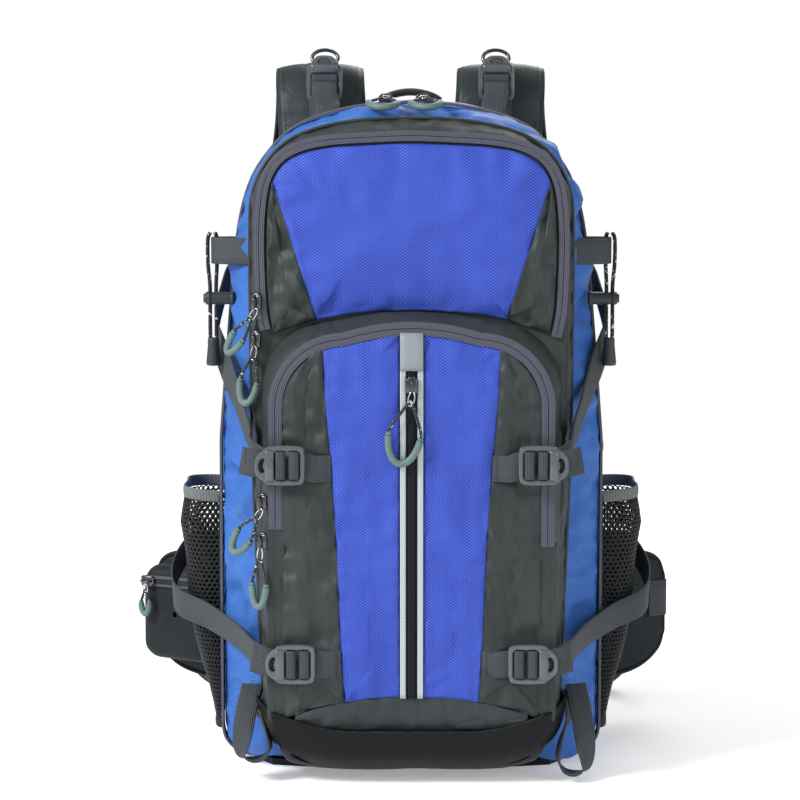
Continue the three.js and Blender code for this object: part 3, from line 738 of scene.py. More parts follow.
def cloth_skin(name, grid, material, closed=True, swell=2.0, pucker=0.8, fold=1.5, seed=1, wall=1.2,
               fold_size=(60, 60, 30), hold=(True, True)):
    """A cloth strip from a grid whose first and last rows are sewn; `fold_size` stretches its soft folds."""
    rows, cols = grid.shape[:2]
    normals = grid_normals(grid, closed)
    steps = np.linalg.norm(np.diff(grid, axis=0), axis=2)
    walked = np.vstack([np.zeros((1, cols)), np.cumsum(steps, 0)])
    width = walked[-1:]
    share = walked / np.maximum(width, 1e-6)
    near = np.minimum(walked if hold[0] else width * 9, (width - walked) if hold[1] else width * 9)
    dome = np.clip(4 * share * (1 - share), 0, 1) ** 0.7
    gathers = wobble(grid, GATHER_SIZE, seed) * np.exp(-near / 9) * np.clip(near / 2.5, 0, 1)
    slow = wobble(grid, fold_size, seed + 3) + 0.45 * wobble(grid, np.array(fold_size) * 0.45, seed + 5)
    lift = swell * dome + pucker * gathers * 2 + fold * slow * np.clip(near / 10, 0, 1)
    points = grid + normals * lift[..., None]
    uvs = np.stack([np.broadcast_to(distances(grid[rows // 2]), (rows, cols)), walked], 2).reshape(-1, 2)
    piece = make_piece(name, points.reshape(-1, 3), grid_faces(rows, cols, closed), material, uvs)
    return thicken(piece, wall), points


def nearest_on(points, line):
    """For each (x, z) point, its distance to a line and how far along the line that is."""
    points, line = np.asarray(points, float), np.asarray(line, float)
    start, step = line[:-1], np.diff(line, axis=0)
    long = np.maximum((step ** 2).sum(1), 1e-9)
    walked = np.concatenate([[0], np.cumsum(np.sqrt(long))])[:-1]
    best = np.full(len(points), 1e9)
    at = np.zeros(len(points))
    for a, s, l2, w in zip(start, step, long, walked):
        t = np.clip(((points - a) @ s) / l2, 0, 1)
        d = np.linalg.norm(points - (a + t[:, None] * s), axis=1)
        closer = d < best
        best[closer] = d[closer]
        at[closer] = (w + t * math.sqrt(l2))[closer]
    return best, at


def coons(bottom, top, left, right, rows, cols):
    """A grid of (x, z) points that fills four edges: left and right run up, bottom and top run right."""
    bottom, top = resample(bottom, cols), resample(top, cols)
    left, right = resample(left, rows), resample(right, rows)
    u = np.linspace(0, 1, cols)[None, :, None]
    v = np.linspace(0, 1, rows)[:, None, None]
    ruled = (1 - v) * bottom[None] + v * top[None] + (1 - u) * left[:, None] + u * right[:, None]
    low_corners = (1 - u) * (1 - v) * bottom[0] + u * (1 - v) * bottom[-1]
    return ruled - (low_corners + (1 - u) * v * top[0] + u * v * top[-1])


SEAM_SINK = 0.9
PANEL_THICK = 1.2
TAPE_THICK = 0.8


def face_towards(piece, sign):
    """Turn an open sheet's face to +y (sign 1) or -y (sign -1)."""
    if sum(p.normal.y for p in piece.data.polygons) * sign < 0:
        piece.data.flip_normals()
    return piece


def panel(name, flat, depth, seams, material, pucker=0.7, fold=1.2, seed=1, drape=(40, 30, 90), pull=0.0):
    """A front panel from a grid of (x, z) points. `depth(points)` gives its y, `seams` are its sewn edges,
    and `pull` is how far its cloth is drawn into folds that run away from them."""
    rows, cols = flat.shape[:2]
    points = flat.reshape(-1, 2)
    near = np.full(len(points), 1e9)
    at = np.zeros(len(points))
    for i, seam in enumerate(seams):
        d, s = nearest_on(points, seam)
        closer = d < near
        near[closer] = d[closer]
        at[closer] = s[closer] + 500 * i
    place = np.stack([points[:, 0], np.zeros(len(points)), points[:, 1]], 1)
    level = np.zeros(len(points))
    along = np.stack([at, near * 0.3, level], 1)
    gathers = wobble(along, (9, 9, 9), seed) * np.exp(-near / 11) * np.clip(near / 2.0, 0, 1)
    slow = wobble(place, drape, seed + 2) + 0.4 * wobble(place, np.array(drape) * 0.4, seed + 4)
    radiating = np.stack([at, near * 0.22, level], 1)
    pulls = wobble(radiating, (15, 15, 15), seed + 6) * np.exp(-near / 30) * np.clip(near / 4.0, 0, 1)
    lift = pucker * 2 * gathers + fold * slow * np.clip(near / 9, 0, 1) - SEAM_SINK * np.exp(-near / 1.6)
    lift = lift + pull * pulls
    y = depth(points) - lift
    spots = np.stack([points[:, 0], y, points[:, 1]], 1)
    piece = make_piece(name, spots, [f[::-1] for f in grid_faces(rows, cols)][::-1], material, points)
    return thicken(face_towards(piece, -1), PANEL_THICK)


def band(name, ring, profile, material):
    """A strip along a closed ring (x, z) on the bag's wall. `profile` gives (y, height above it) across."""
    step = np.roll(ring, -1, 0) - np.roll(ring, 1, 0)
    out = unit(np.stack([step[:, 1], -step[:, 0]], 1))
    rows = []
    for y, h in profile:
        xz = ring + out * h
        rows.append(np.stack([xz[:, 0], np.full(len(ring), y), xz[:, 1]], 1))
    across = np.array([y for y, h in profile])
    uvs = np.stack(np.broadcast_arrays(across[:, None], distances(ring)[None]), 2).reshape(-1, 2)
    faces = grid_faces(len(rows), len(ring), wrap=True)
    return thicken(make_piece(name, np.array(rows).reshape(-1, 3), faces, material, uvs), TAPE_THICK)


print("cloth tools ready")
# %% [markdown]
# The main body is the deep blue bag behind the main zip. On the real pack it is one long gusset sewn between
# the back and the zip, so it is made as a strip that runs round the arch. Its back wall closes it.

# %% Main body
FOOT = 7
BACK = [(95, 0.87, 0.954), (86, 0.935, 0.977), (60, 1.0, 0.992), (15, 1.0, 1.0), (-14, 0.988, 1.0)]
body_grid = loft_grid([(y, bag_ring(FOOT, narrow=n, low=l, inset=1.5)) for y, n, l in BACK], 44)
main_body, _ = cloth_skin("main_body", body_grid, BLUE, swell=3.0, pucker=1.4, fold=4.5, seed=2, wall=1.4,
                          fold_size=(70, 60, 26))
put(main_body, "pack", ["main_shell"])



def closed_fan(name, rows, thickness):
    """A grey wall from rings that shrink to the middle, closed there by one face."""
    points = np.array(rows).reshape(-1, 3)
    faces = grid_faces(len(rows), RING_POINTS, True) + [tuple(range(RING_POINTS))]
    return thicken(outward(make_piece(name, points, faces, GREY, points[:, [0, 2]])), thickness)


BACK_MIDDLE, FRONT_MIDDLE = np.array([0, 240]), np.array([0, 250])
ring = bag_ring(FOOT, narrow=0.87, low=0.954, inset=2.5)
back_rows = [[(x, 93.6, z) for x, z in BACK_MIDDLE + (ring - BACK_MIDDLE) * share]
             for share in (0.1, 0.45, 0.8, 0.985, 1.0)]
put(closed_fan("back_wall", back_rows, 1.2), "pack")
print("main body rows and columns:", body_grid.shape[:2])

# %% [markdown]
# In front of the main zip come a blue gusset and a narrow grey one. On the real pack they open with the top
# above the fold at z 350; here each is one strip that stays in place.

# %% Front gussets
TOP_FOLD = (("pack", "top"), (0, -60, 335), (0, -60, 365))
blue_levels = [(y, bag_ring(foot, front=front)) for y, foot, front in ((-26, 4, 0.1), (-42, 11, 0.48),
                                                                       (-60, 20, 0.86))]
blue_grid = loft_grid(blue_levels, 26)
front_gusset, gusset_points = cloth_skin("front_gusset", blue_grid, BLUE, swell=2.4, pucker=1.8, fold=9.0,
                                         seed=4, fold_size=(60, 45, 24))
put_blend(front_gusset, *TOP_FOLD, "blue_nylon", ["front_shell", "front_top"])
HEM_Z = 62
for side, word in SIDES.items():
    middle_row = gusset_points[13]
    hem_at = int(np.argmin(np.abs(middle_row[:, 2] - HEM_Z) + 500 * (middle_row[:, 0] * side < 0)))
    hem_line = gusset_points[2:-1, hem_at]
    hem = stitches(f"gusset_hem_{word}", hem_line, (side * 0.75, -0.65, 0), BLUE_THREAD, lift=0.5)
    put(hem, "pack")
grey_rear = bag_ring(20, front=0.86)
grey_front = bag_ring(20, front=1.0, inset=0.3)
crown = np.clip((grey_front[:, 1] - 425) / 40, 0, 1)
grey_front[:, 1] -= 8 * crown
grey_front[:, 0] -= np.sign(grey_front[:, 0]) * 4 * np.clip((grey_front[:, 1] - 330) / 60, 0, 1) * (1 - crown)
grey_levels = [(-59, grey_rear), (-72, grey_rear * 0.4 + grey_front * 0.6), (-79, grey_front)]
grey_gusset, _ = cloth_skin("grey_gusset", loft_grid(grey_levels, 14), GREY, swell=1.0, pucker=1.2, fold=1.6,
                            seed=6)
put_blend(grey_gusset, *TOP_FOLD, "grey_nylon")
seam_line = [(x, -60, z) for x, z in bag_ring(20, front=0.86, inset=-0.6)]
piping = sweep("gusset_piping", seam_line, (0, 1, 0), round_section(1.5, 8), GREY, closed=True)
put_blend(piping, *TOP_FOLD, "webbing")

divider_rows = []
for share in np.linspace(0.05, 0.998, 24):
    ring = FRONT_MIDDLE + (grey_front - FRONT_MIDDLE) * share
    set_back = 3.0 * np.clip((ring[:, 1] - 318) / 14, 0, 1) * (1 - np.clip((share - 0.93) / 0.06, 0, 1))
    divider_rows.append(np.stack([ring[:, 0], -79.0 + set_back, ring[:, 1]], 1))
divider = closed_fan("divider", divider_rows, 1.0)
put_blend(divider, ("pack", "top"), (0, -77, 345), (0, -77, 355), "grey_nylon")

# %% [markdown]
# The main zip: two tapes whose folded edges meet over the coil. The rear tape stays with the body and the
# front one goes with the gusset.

# %% Main zip tapes
zip_ring = bag_ring(FOOT, inset=-0.9, narrow=0.988)
REAR_TAPE = [(-12.5, -0.6), (-13.5, 0.5), (-16.5, 0.9), (-19.0, 1.0), (-19.7, 0.3), (-19.8, -1.2)]
FRONT_TAPE = [(-20.2, -1.2), (-20.3, 0.3), (-21.0, 1.0), (-23.5, 0.9), (-27.5, 0.4), (-28.5, -1.2)]
put(band("main_zip_rear_tape", zip_ring, REAR_TAPE, TAPE), "pack")
put_blend(band("main_zip_front_tape", zip_ring, FRONT_TAPE, TAPE), *TOP_FOLD, "webbing")
print("zip tapes made round a ring of", round(length_of(zip_ring)), "mm")
# %% [markdown]
# The upper panel is a blue ripstop shield with a grey triangle at each side. All three are cut to one domed
# surface, so their shared seams meet; each is a patch filled from its four edges.

# %% Upper panel
PANEL_ARCH = [(107, 332), (110.5, 350), (112, 375), (112.5, 400), (111.5, 425), (108, 446), (99, 462),
              (83, 472), (60, 477), (30, 479), (0, 480)]
ARCH_POINTS = 260
HALF_ARCH = ARCH_POINTS // 2
panel_half = spline(np.vstack([PANEL_ARCH, np.array(PANEL_ARCH)[:-1][::-1] * [-1, 1]]), ARCH_POINTS)
panel_foot = np.array([(x, 353 - 20 * (x / 104) ** 2) for x in np.linspace(-104, 104, 80)])
panel_loop = np.vstack([panel_half, panel_foot[1:-1], panel_half[:1]])
TAPE_WIDTH = 7.6


def upper_depth(points):
    edge, _ = nearest_on(points, panel_loop)
    return -80.5 - 7.0 * (1 - np.exp(-edge / 20)) - 0.8 * np.exp(-((points[:, 1] - 420) / 50) ** 2)


def inside(curve, by):
    """A curve moved inwards, towards the bag's middle line and down, as the tape's inner edge."""
    step = np.gradient(curve, axis=0)
    out = unit(np.stack([step[:, 1], -step[:, 0]], 1))
    sign = np.sign(((curve - curve.mean(0)) * out).sum(1).mean())
    return curve - out * by * sign


arch_inner = inside(panel_half, TAPE_WIDTH - 1.5)
corner_at = int(np.argmin(np.abs(arch_inner[:HALF_ARCH, 1] - 446)))
top_curve = arch_inner[corner_at:ARCH_POINTS - corner_at][::-1]
side_right = arch_inner[:corner_at + 1]
LOW_X, LOW_Z, MID_Z = 70, 345, 352
seam_right = np.array([(LOW_X, LOW_Z), top_curve[-1]])
seam_left = seam_right * [-1, 1]
foot_x = np.linspace(-LOW_X, LOW_X, 40)
foot_blue = np.stack([foot_x, MID_Z - (MID_Z - LOW_Z) * (foot_x / LOW_X) ** 2], 1)
foot_side = np.array([(LOW_X, LOW_Z), (side_right[0, 0], 335)])
shield = coons(foot_blue, top_curve, seam_left, seam_right, 90, 110)
seams = [foot_blue, top_curve, seam_left, seam_right]
upper_blue = panel("upper_panel_blue", shield, upper_depth, seams, RIPSTOP, pucker=0.8, fold=3.0, seed=11,
                   drape=(50, 30, 40), pull=4.0)
put(upper_blue, "upper_flap", ["upper_panel"])
point = np.array([seam_right[1], seam_right[1] + (0.01, 0)])
for side, word in SIDES.items():
    flip = np.array([side, 1])
    outer = np.vstack([[foot_side[1]], side_right[1:]])
    wedge = coons(foot_side * flip, point * flip, seam_right * flip, outer * flip, 70, 40)
    seams = [foot_side * flip, seam_right * flip, outer * flip]
    cloth = panel(f"upper_panel_grey_{word}", wedge, upper_depth, seams, GREY, pucker=1.8, fold=5.0,
                  seed=13 + side, drape=(22, 30, 55), pull=6.5)
    put(cloth, "upper_flap")
print("upper panel patches made")

# %% [markdown]
# A zip on a panel's edge is a folded tape with a dark groove where the coil hides. Its section is swept along
# the edge; the part that ends at a slider is simply cut there.

# %% Panel zips


def edge_tape(name, curve, depth, width, proud):
    """A tape of two folded halves along a curve (x, z), with the shadow gap of its coil between them."""
    curve = resample(curve, max(30, int(length_of(curve) / 3)))
    line = np.stack([curve[:, 0], depth(curve) - proud, curve[:, 1]], 1)
    ahead = unit(np.gradient(curve, axis=0))
    side = np.stack([ahead[:, 1], np.zeros(len(curve)), -ahead[:, 0]], 1)
    up = np.abs(np.cross(unit(np.gradient(line, axis=0)), side))[:, None] * [0, 1, 0]
    made = []
    for half, (a, b) in (("outer", (0.25, width / 2)), ("inner", (-width / 2, -0.25))):
        sec = np.array([(a, -0.5), (b, -0.5), (b, 0.35), ((a + b) / 2, 0.6), (a, 0.45)])
        points = line[:, None] + side[:, None] * sec[None, :, :1] - up * sec[None, :, 1:]
        uvs = np.stack([np.tile(sec[:, 0], len(line)), np.repeat(distances(line), len(sec))], 1)
        faces = rod_faces(len(line), len(sec))
        tape = make_piece(f"{name}_{half}", points.reshape(-1, 3), faces, TAPE, uvs, smooth=False)
        made.append(outward(tape))
    return made


tape_line = inside(panel_half, TAPE_WIDTH / 2 - 3.5)
start_left = int(np.argmin(np.abs(tape_line[HALF_ARCH:, 1] - 335))) + HALF_ARCH
upper_zip = tape_line[:start_left]
for tape in edge_tape("upper_zip", upper_zip, lambda p: np.full(len(p), -80.6), TAPE_WIDTH, 0.6):
    if tape.name.endswith("outer"):
        put_blend(tape, ("pack", "top"), (0, -80, 338), (0, -80, 362), "webbing")
    else:
        put(tape, "upper_flap")
print("upper zip line is", round(length_of(upper_zip)), "mm")

# %% [markdown]
# The front pocket stands proud of the pack: a grey gusset round its edge, and a panel in five strips. Grey at
# the sides, blue ripstop either side of the middle, and a straight black zip between two reflective lines.

# %% Front pocket gusset
P_HALF, P_FOOT, P_TOP = 105, 36, 345


def pocket_ring(inset):
    half, foot, top = P_HALF - inset, P_FOOT + inset, P_TOP - inset
    turns = np.linspace(-math.pi / 2, 0, 8)
    corner = np.stack([half - 14 + 14 * np.cos(turns), foot + 14 + 14 * np.sin(turns)], 1)
    turns = np.linspace(0, math.pi / 2, 16)
    shoulder = np.stack([half - 50 + 50 * np.cos(turns), top - 58 + 50 * np.sin(turns)], 1)
    crown = [(x, top - 8 * (x / (half - 50)) ** 2) for x in np.linspace(half - 50, 0, 8)]
    right = np.vstack([[(0, foot)], corner, shoulder, crown[1:]])
    return resample(np.vstack([right, right[:-1][::-1] * [-1, 1]]), 361)[:-1]


band_seam = [(0, -81.6 - 1.2 * t, 344.5 + 8.5 * t) for t in np.linspace(0, 1, 10)]
put(stitches("band_seam", band_seam, (0, -1, 0), DARK_THREAD, 2.2, 0.2), "top")
pocket_levels = [(y, pocket_ring(inset)) for y, inset in ((-78.5, -6), (-86, -3.6), (-97, 0.6), (-103, 3.5))]
pocket_gusset, _ = cloth_skin("pocket_gusset", loft_grid(pocket_levels, 16), GREY, swell=1.0, pucker=0.9,
                              fold=0.9, seed=21)
put(pocket_gusset, "pack", ["front_pocket"])

# %% Front pocket panel
POCKET_FOLD = (("pack", "pocket_flap"), (0, -105, 252), (0, -105, 272))
pocket_edge = np.vstack([pocket_ring(0), pocket_ring(0)[:1]])
POCKET_TAPE = 10.0


def pocket_depth(points):
    edge, _ = nearest_on(points, pocket_edge)
    return -102.0 - 7.8 * (1 - np.exp(-np.maximum(edge - 6, 0) / 24))


def pocket_y(x, z):
    return pocket_depth(np.array([[x, z]]))[0]


blue_edge = spline([(49, 62), (52, 105), (55, 180), (59, 240), (63, 288), (65, 330)], 60)
STRIP = 8.6
inner_ring = pocket_ring(POCKET_TAPE - 1)
right_ring = inner_ring[:181]
top_at = int(np.argmin(np.linalg.norm(right_ring - (65, 331), axis=1)))
foot_at = int(np.argmin(np.linalg.norm(right_ring - (49, P_FOOT + POCKET_TAPE - 2), axis=1)))


def lens_top(x):
    """Height of the seam over the pocket's foot band."""
    return 68 - 13 * (np.asarray(x, float) / 84) ** 2


def strip_piece(name, flat, seams, material, **look):
    piece = panel(name, flat, pocket_depth, seams, material, **look)
    return put_blend(piece, *POCKET_FOLD, "blue_ripstop" if material is RIPSTOP else "grey_nylon")


for side, word in SIDES.items():
    flip = np.array([side, 1])
    top_arc = right_ring[top_at:181][::-1]
    top_arc = top_arc[top_arc[:, 0] > STRIP]
    top_arc = np.vstack([[(STRIP, top_arc[0, 1])], top_arc, [blue_edge[-1]]])
    low_x = np.linspace(STRIP, 49, 20)
    low_arc = np.stack([low_x, lens_top(low_x)], 1)
    inner = np.array([low_arc[0], top_arc[0]])
    outer = np.vstack([[low_arc[-1]], blue_edge[1:]])
    blue_patch = coons(low_arc * flip, top_arc * flip, inner * flip, outer * flip, 150, 36)
    seams = [edge * flip for edge in (low_arc, top_arc, outer, inner)]
    blue = strip_piece(f"pocket_blue_{word}", blue_patch, seams, RIPSTOP, pucker=1.1, fold=3.0,
                       seed=31 + side, drape=(30, 30, 60), pull=3.0)
    if side == LEFT:
        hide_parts("pocket_panel", "pocket_flap")
    side_arc = right_ring[foot_at:top_at + 1]
    side_arc = side_arc[side_arc[:, 1] > 50]
    side_arc = np.vstack([[(84, 56.5)], side_arc[side_arc[:, 0] > 84.0], [blue_edge[-1] + (0.05, 0)]])
    low_x = np.linspace(49, 84, 16)
    low_grey = np.stack([low_x, lens_top(low_x)], 1)
    tip = np.array([blue_edge[-1], blue_edge[-1] + (0.05, 0)])
    grey_patch = coons(low_grey * flip, tip * flip, outer * flip, side_arc * flip, 150, 30)
    seams = [edge * flip for edge in (low_grey, outer, side_arc)]
    strip_piece(f"pocket_grey_{word}", grey_patch, seams, GREY, pucker=1.8, fold=3.6, seed=41 + side,
                drape=(18, 30, 60), pull=6.0)

lens_x = np.linspace(-86, 86, 60)
lens_low = np.stack([lens_x, 40 + 4 * (lens_x / 86) ** 2], 1)
lens_high = np.stack([lens_x, lens_top(lens_x)], 1)
lens_ends = [np.array([lens_low[at], lens_high[at]]) for at in (0, -1)]
lens_grid = coons(lens_low, lens_high, *lens_ends, 14, 90)
LENS_GREY = nylon_finish("lens_cloth", (0.022, 0.028, 0.03), (0.045, 0.054, 0.057), twill=0.8)
lens = panel("pocket_foot_band", lens_grid, pocket_depth, [lens_low, lens_high], LENS_GREY, pucker=1.2,
             fold=1.2, seed=51, pull=2.0)
put(lens, "pack")

# %% Front pocket zips
ring = pocket_ring(POCKET_TAPE / 2)
right_end = int(np.argmin(np.linalg.norm(ring[:180] - (100, 180), axis=1)))
left_end = 180 + int(np.argmin(np.linalg.norm(ring[180:] - (-100, 190), axis=1)))
pocket_zip = ring[right_end:left_end]
for tape in edge_tape("pocket_zip", pocket_zip, pocket_depth, POCKET_TAPE, 0.9):
    put_blend(tape, *POCKET_FOLD, "webbing")
for side, end in ((1, right_end), (-1, left_end)):
    rest = ring[:end + 2] if side == 1 else ring[end - 2:]
    rest = rest[(np.abs(rest[:, 0]) > 80) & (rest[:, 1] > 49)]
    line = np.array([(x, pocket_y(x, z) + 0.3, z) for x, z in rest])
    hem = sweep(f"pocket_edge_{SIDES[side]}", line, (1, 0, 0), soft_section(13.5, 1.8, 5), GREY)
    put(hem, "pack")

# %% Centre zip and its reflective lines
zs = np.linspace(67, 337, 60)
strip_line = np.array([(0, pocket_y(0.0, z) - 0.3, z) for z in zs])
strip_base = sweep("centre_strip", strip_line + (0, 0.3, 0), (1, 0, 0), soft_section(17.6, 1.2, 4), BASE)
put_blend(strip_base, *POCKET_FOLD, "black_base")
for side, word in SIDES.items():
    line = strip_line + (side * 6.4, -0.4, 0)
    silver = sweep(f"reflective_line_{word}", line, (1, 0, 0), webbing_section(4.2, 0.8), REFLECTIVE)
    put_blend(silver, *POCKET_FOLD, "webbing")
    line = strip_line + (side * 1.0, -0.75, 0)
    teeth = beads(f"centre_coil_{word}", line, (0, -1, 0), 1.15, (0.85, 3.6, 1.3), COIL)
    put_blend(teeth, *POCKET_FOLD, "buckle_plastic")
BLOCK_GREY = plain_finish("garage_grey", (0.21, 0.25, 0.27), rough=0.5, grain=0.05)
block_line = strip_line[zs > 305] + (0, -1.3, 0)
garage = sweep("reflective_block", block_line, (1, 0, 0), webbing_section(17.0, 1.2), BLOCK_GREY)
put_blend(garage, *POCKET_FOLD, "webbing")
print("front pocket made; strip is", round(length_of(strip_line)), "mm long")
# %% [markdown]
# The coated base is a shallow boot under the front of the bag. Its front wall turns up over the pocket's
# foot, and the blue gusset comes down outside it at each side.

# %% Base boot
BOOT_PLAN = [(-113, -36), (-114, -58), (-110.5, -80), (-102, -97), (-89, -102.5), (0, -104), (89, -102.5),
             (102, -97), (110.5, -80), (114, -58), (113, -36)]
boot_plan = spline(BOOT_PLAN, 240)
boot_out = unit(np.stack([np.gradient(boot_plan[:, 1]), -np.gradient(boot_plan[:, 0])], 1))
BOOT_PROFILE = [(-44, 5), (-28, 7), (-14, 11), (-4, 18), (0, 25), (1.8, 33), (2.6, 38), (2.4, 42.5)]
profile = spline(BOOT_PROFILE, 30)
from_middle = np.abs(boot_plan[:, 0])
top_rise = 20 * np.clip((from_middle - 45) / 70, 0, 1) ** 1.7
corner_lift = 9 * np.clip((from_middle - 66) / 50, 0, 1) ** 1.6
boot_rows = []
for t, (h, z) in zip(np.linspace(0, 1, 30), profile):
    tuck = 4 * (1 - t) ** 2 * np.clip((from_middle - 70) / 45, 0, 1)
    xy = boot_plan + boot_out * (h - tuck)[:, None]
    boot_rows.append(np.stack([xy[:, 0], xy[:, 1], z + t * top_rise + (1 - t) * corner_lift], 1))
boot_grid = np.array(boot_rows)[::-1]
boot, boot_points = cloth_skin("base_boot_cloth", boot_grid, BASE, closed=False, swell=0.8, pucker=0.5,
                               fold=0.9, seed=61, wall=1.6)
put(boot, "pack")
SOLE_HALF = [(-100, 88), (-117, 50), (-121, -14), (-106, -38), (-80, -44), (-40, -46)]
sole_ring = np.array(SOLE_HALF + [(-x, y) for x, y in reversed(SOLE_HALF)])
sole_points = np.array([(x, y, z) for z in (0.0, 5.0) for x, y in sole_ring])
sole = make_piece("sole", sole_points, rod_faces(2, 12), BASE, sole_points[:, :2], smooth=False)
put(outward(sole), "pack", ["base_boot"])
put(stitches("boot_stitch", boot_points[2, 8:-8], (0, -1, 0.2), THREAD, 3.0, 0.1), "pack")
print("boot made")

# %% [markdown]
# The side pockets are knitted stretch mesh. A lattice of hexagons, each with a round hole, is laid over the
# pocket's bulging surface; the rim is a folded elastic tape.

# %% Mesh pockets
BULGE = [(20, 5), (26, 7), (70, 20), (125, 30), (180, 35), (206, 30)]
FRONT_BEND = [(0, -8), (0.85, -8), (1, 5), (1, 38)]
REAR_BEND = [(1, 38), (1, 70), (0.85, 84), (0, 84)]


def bezier(points, t):
    a, b, c, d = (np.array(p, float) for p in points)
    t = t[:, None]
    return a * (1 - t) ** 3 + 3 * b * t * (1 - t) ** 2 + 3 * c * t ** 2 * (1 - t) + d * t ** 3


steps = np.linspace(0, 1, 30)
pocket_plan = np.vstack([bezier(FRONT_BEND, steps), bezier(REAR_BEND, steps)[1:]]) * (30, 1)
pocket_plan = resample(pocket_plan, 200)
PLAN_LENGTH = length_of(pocket_plan)


def pocket_surface(u, z, side, lift=0.0):
    """Points on the pocket: u mm round its plan from the front, z mm up."""
    u, z = np.asarray(u, float), np.asarray(z, float)
    share = np.clip(u / PLAN_LENGTH, 0, 1) * 199
    x = np.interp(share, range(200), pocket_plan[:, 0]) / 30
    y = np.interp(share, range(200), pocket_plan[:, 1])
    b = np.interp(z, [k[0] for k in BULGE], [k[1] for k in BULGE])
    sag = 2.2 * np.sin(u / 11 + z / 37) * np.exp(-((z - 195) / 26) ** 2) + 1.2 * np.sin(z / 17 + u / 23)
    return np.stack([side * (145.3 + (b + sag + lift) * x), y, z], -1)


def perforated(name, surface, width, height, low, pitch, share, material):
    """A sheet of hexagons with round holes, laid on a surface of (u, z)."""
    faces, uvs = [], []
    turns = np.arange(12) / 12 * 2 * math.pi
    corner = np.where(np.arange(12) % 2 == 0, 1.0, math.cos(math.pi / 6))
    outer = np.stack([np.sin(turns), np.cos(turns)], 1) * (pitch / math.sqrt(3)) * corner[:, None]
    inner = np.stack([np.sin(turns), np.cos(turns)], 1) * pitch / 2 * share
    row_step = pitch * math.sqrt(3) / 2
    for i in range(int(height / row_step)):
        for j in range(int(width / pitch)):
            middle = np.array([(j + 0.5 + 0.5 * (i % 2)) * pitch, low + (i + 0.5) * row_step])
            start = len(uvs) * 24
            uvs.append(np.vstack([middle + outer, middle + inner]))
            for k in range(12):
                k_next = (k + 1) % 12
                faces.append((start + k, start + k_next, start + 12 + k_next, start + 12 + k))
    uvs = np.vstack(uvs)
    return outward(make_piece(name, surface(uvs[:, 0], uvs[:, 1]), faces, material, uvs))


NET_FOOT, NET_RIM = 24, 203
for side, word in SIDES.items():
    net = perforated(f"side_net_{word}", lambda u, z: pocket_surface(u, z, side), PLAN_LENGTH, 178, NET_FOOT,
                     3.9, 0.6, NET)
    put(thicken(net, 0.7), "pack", [f"mesh_pocket_{word}"])
    rim_u = np.linspace(0, PLAN_LENGTH, 90)
    rim = pocket_surface(rim_u, NET_RIM + 3 * np.sin(rim_u / PLAN_LENGTH * math.pi), side, 0.6)
    binding = sweep(f"net_rim_{word}", rim, (0, 0, 1), soft_section(9, 2.6, 3), ELASTIC)
    put(binding, "pack")
    for end, u in (("front", 1.5), ("rear", PLAN_LENGTH - 1.5)):
        seam = pocket_surface(np.full(50, u), np.linspace(NET_FOOT, 204, 50), side)
        edge = sweep(f"net_seam_{end}_{word}", seam, (0, 1, 0), soft_section(7, 2.2, 3), BINDING)
        put(edge, "pack")
    foot = pocket_surface(np.linspace(0, PLAN_LENGTH, 60), np.full(60, NET_FOOT + 2.0), side)
    put(sweep(f"net_foot_{word}", foot, (0, 0, 1), soft_section(8, 2.4, 3), BINDING), "pack")
print("mesh pockets, each with a plan of", round(PLAN_LENGTH), "mm")

# %% [markdown]
# A ladder lock is one moulding: a frame with two bars and a thumb tab. It is drawn flat, with its holes, then
# given thickness and a rounded edge, and lies on the front with its tab outwards.

# %% Ladder locks


def rounded(cx, cy, width, height, radius, steps=6):
    """A rounded rectangle's outline."""
    out = []
    for k, (sx, sy) in enumerate([(1, 1), (-1, 1), (-1, -1), (1, -1)]):
        turn = np.linspace(0, math.pi / 2, steps) + k * math.pi / 2
        middle = (cx + sx * (width / 2 - radius), cy + sy * (height / 2 - radius))
        out.append(np.stack([middle[0] + radius * np.cos(turn), middle[1] + radius * np.sin(turn)], 1))
    return np.vstack(out)


def cutout(name, outlines, thickness, edge, material):
    """A flat moulding from closed outlines, holes among them, with rounded edges; it lies in x, y."""
    curve = bpy.data.curves.new(name, "CURVE")
    curve.dimensions = "2D"
    curve.fill_mode = "BOTH"
    curve.extrude = (thickness / 2 - edge) * MM
    curve.bevel_depth = edge * MM
    curve.bevel_resolution = 2
    curve.offset = -edge * MM
    for outline in outlines:
        line = curve.splines.new("POLY")
        line.points.add(len(outline) - 1)
        for point, (x, y) in zip(line.points, outline):
            point.co = (x * MM, y * MM, 0, 1)
        line.use_cyclic_u = True
    shape = new_object(name, curve)
    bpy.context.view_layer.update()
    mesh = bpy.data.meshes.new_from_object(shape.evaluated_get(bpy.context.evaluated_depsgraph_get()))
    bpy.data.objects.remove(shape)
    piece = new_object(name, mesh)
    mesh.materials.clear()
    mesh.materials.append(material)
    for polygon in mesh.polygons:
        polygon.use_smooth = False
    return outward(piece)


def move(piece, matrix):
    """Turn and place a mesh itself, and keep its faces outwards when it is mirrored."""
    piece.data.transform(matrix)
    if matrix.determinant() < 0:
        piece.data.flip_normals()
    return piece


def merge(name, pieces):
    """Several meshes as one piece, with their finishes."""
    mesh = bmesh.new()
    materials = []
    for part in pieces:
        first = len(mesh.faces)
        mesh.from_mesh(part.data)
        mesh.faces.ensure_lookup_table()
        known = list(part.data.materials)
        for m in known:
            if m not in materials:
                materials.append(m)
        for f in mesh.faces[first:]:
            f.material_index = materials.index(known[min(f.material_index, len(known) - 1)])
    joined = bpy.data.meshes.new(name)
    mesh.to_mesh(joined)
    mesh.free()
    for part in pieces:
        bpy.data.objects.remove(part)
    for m in materials:
        joined.materials.append(m)
    return new_object(name, joined)


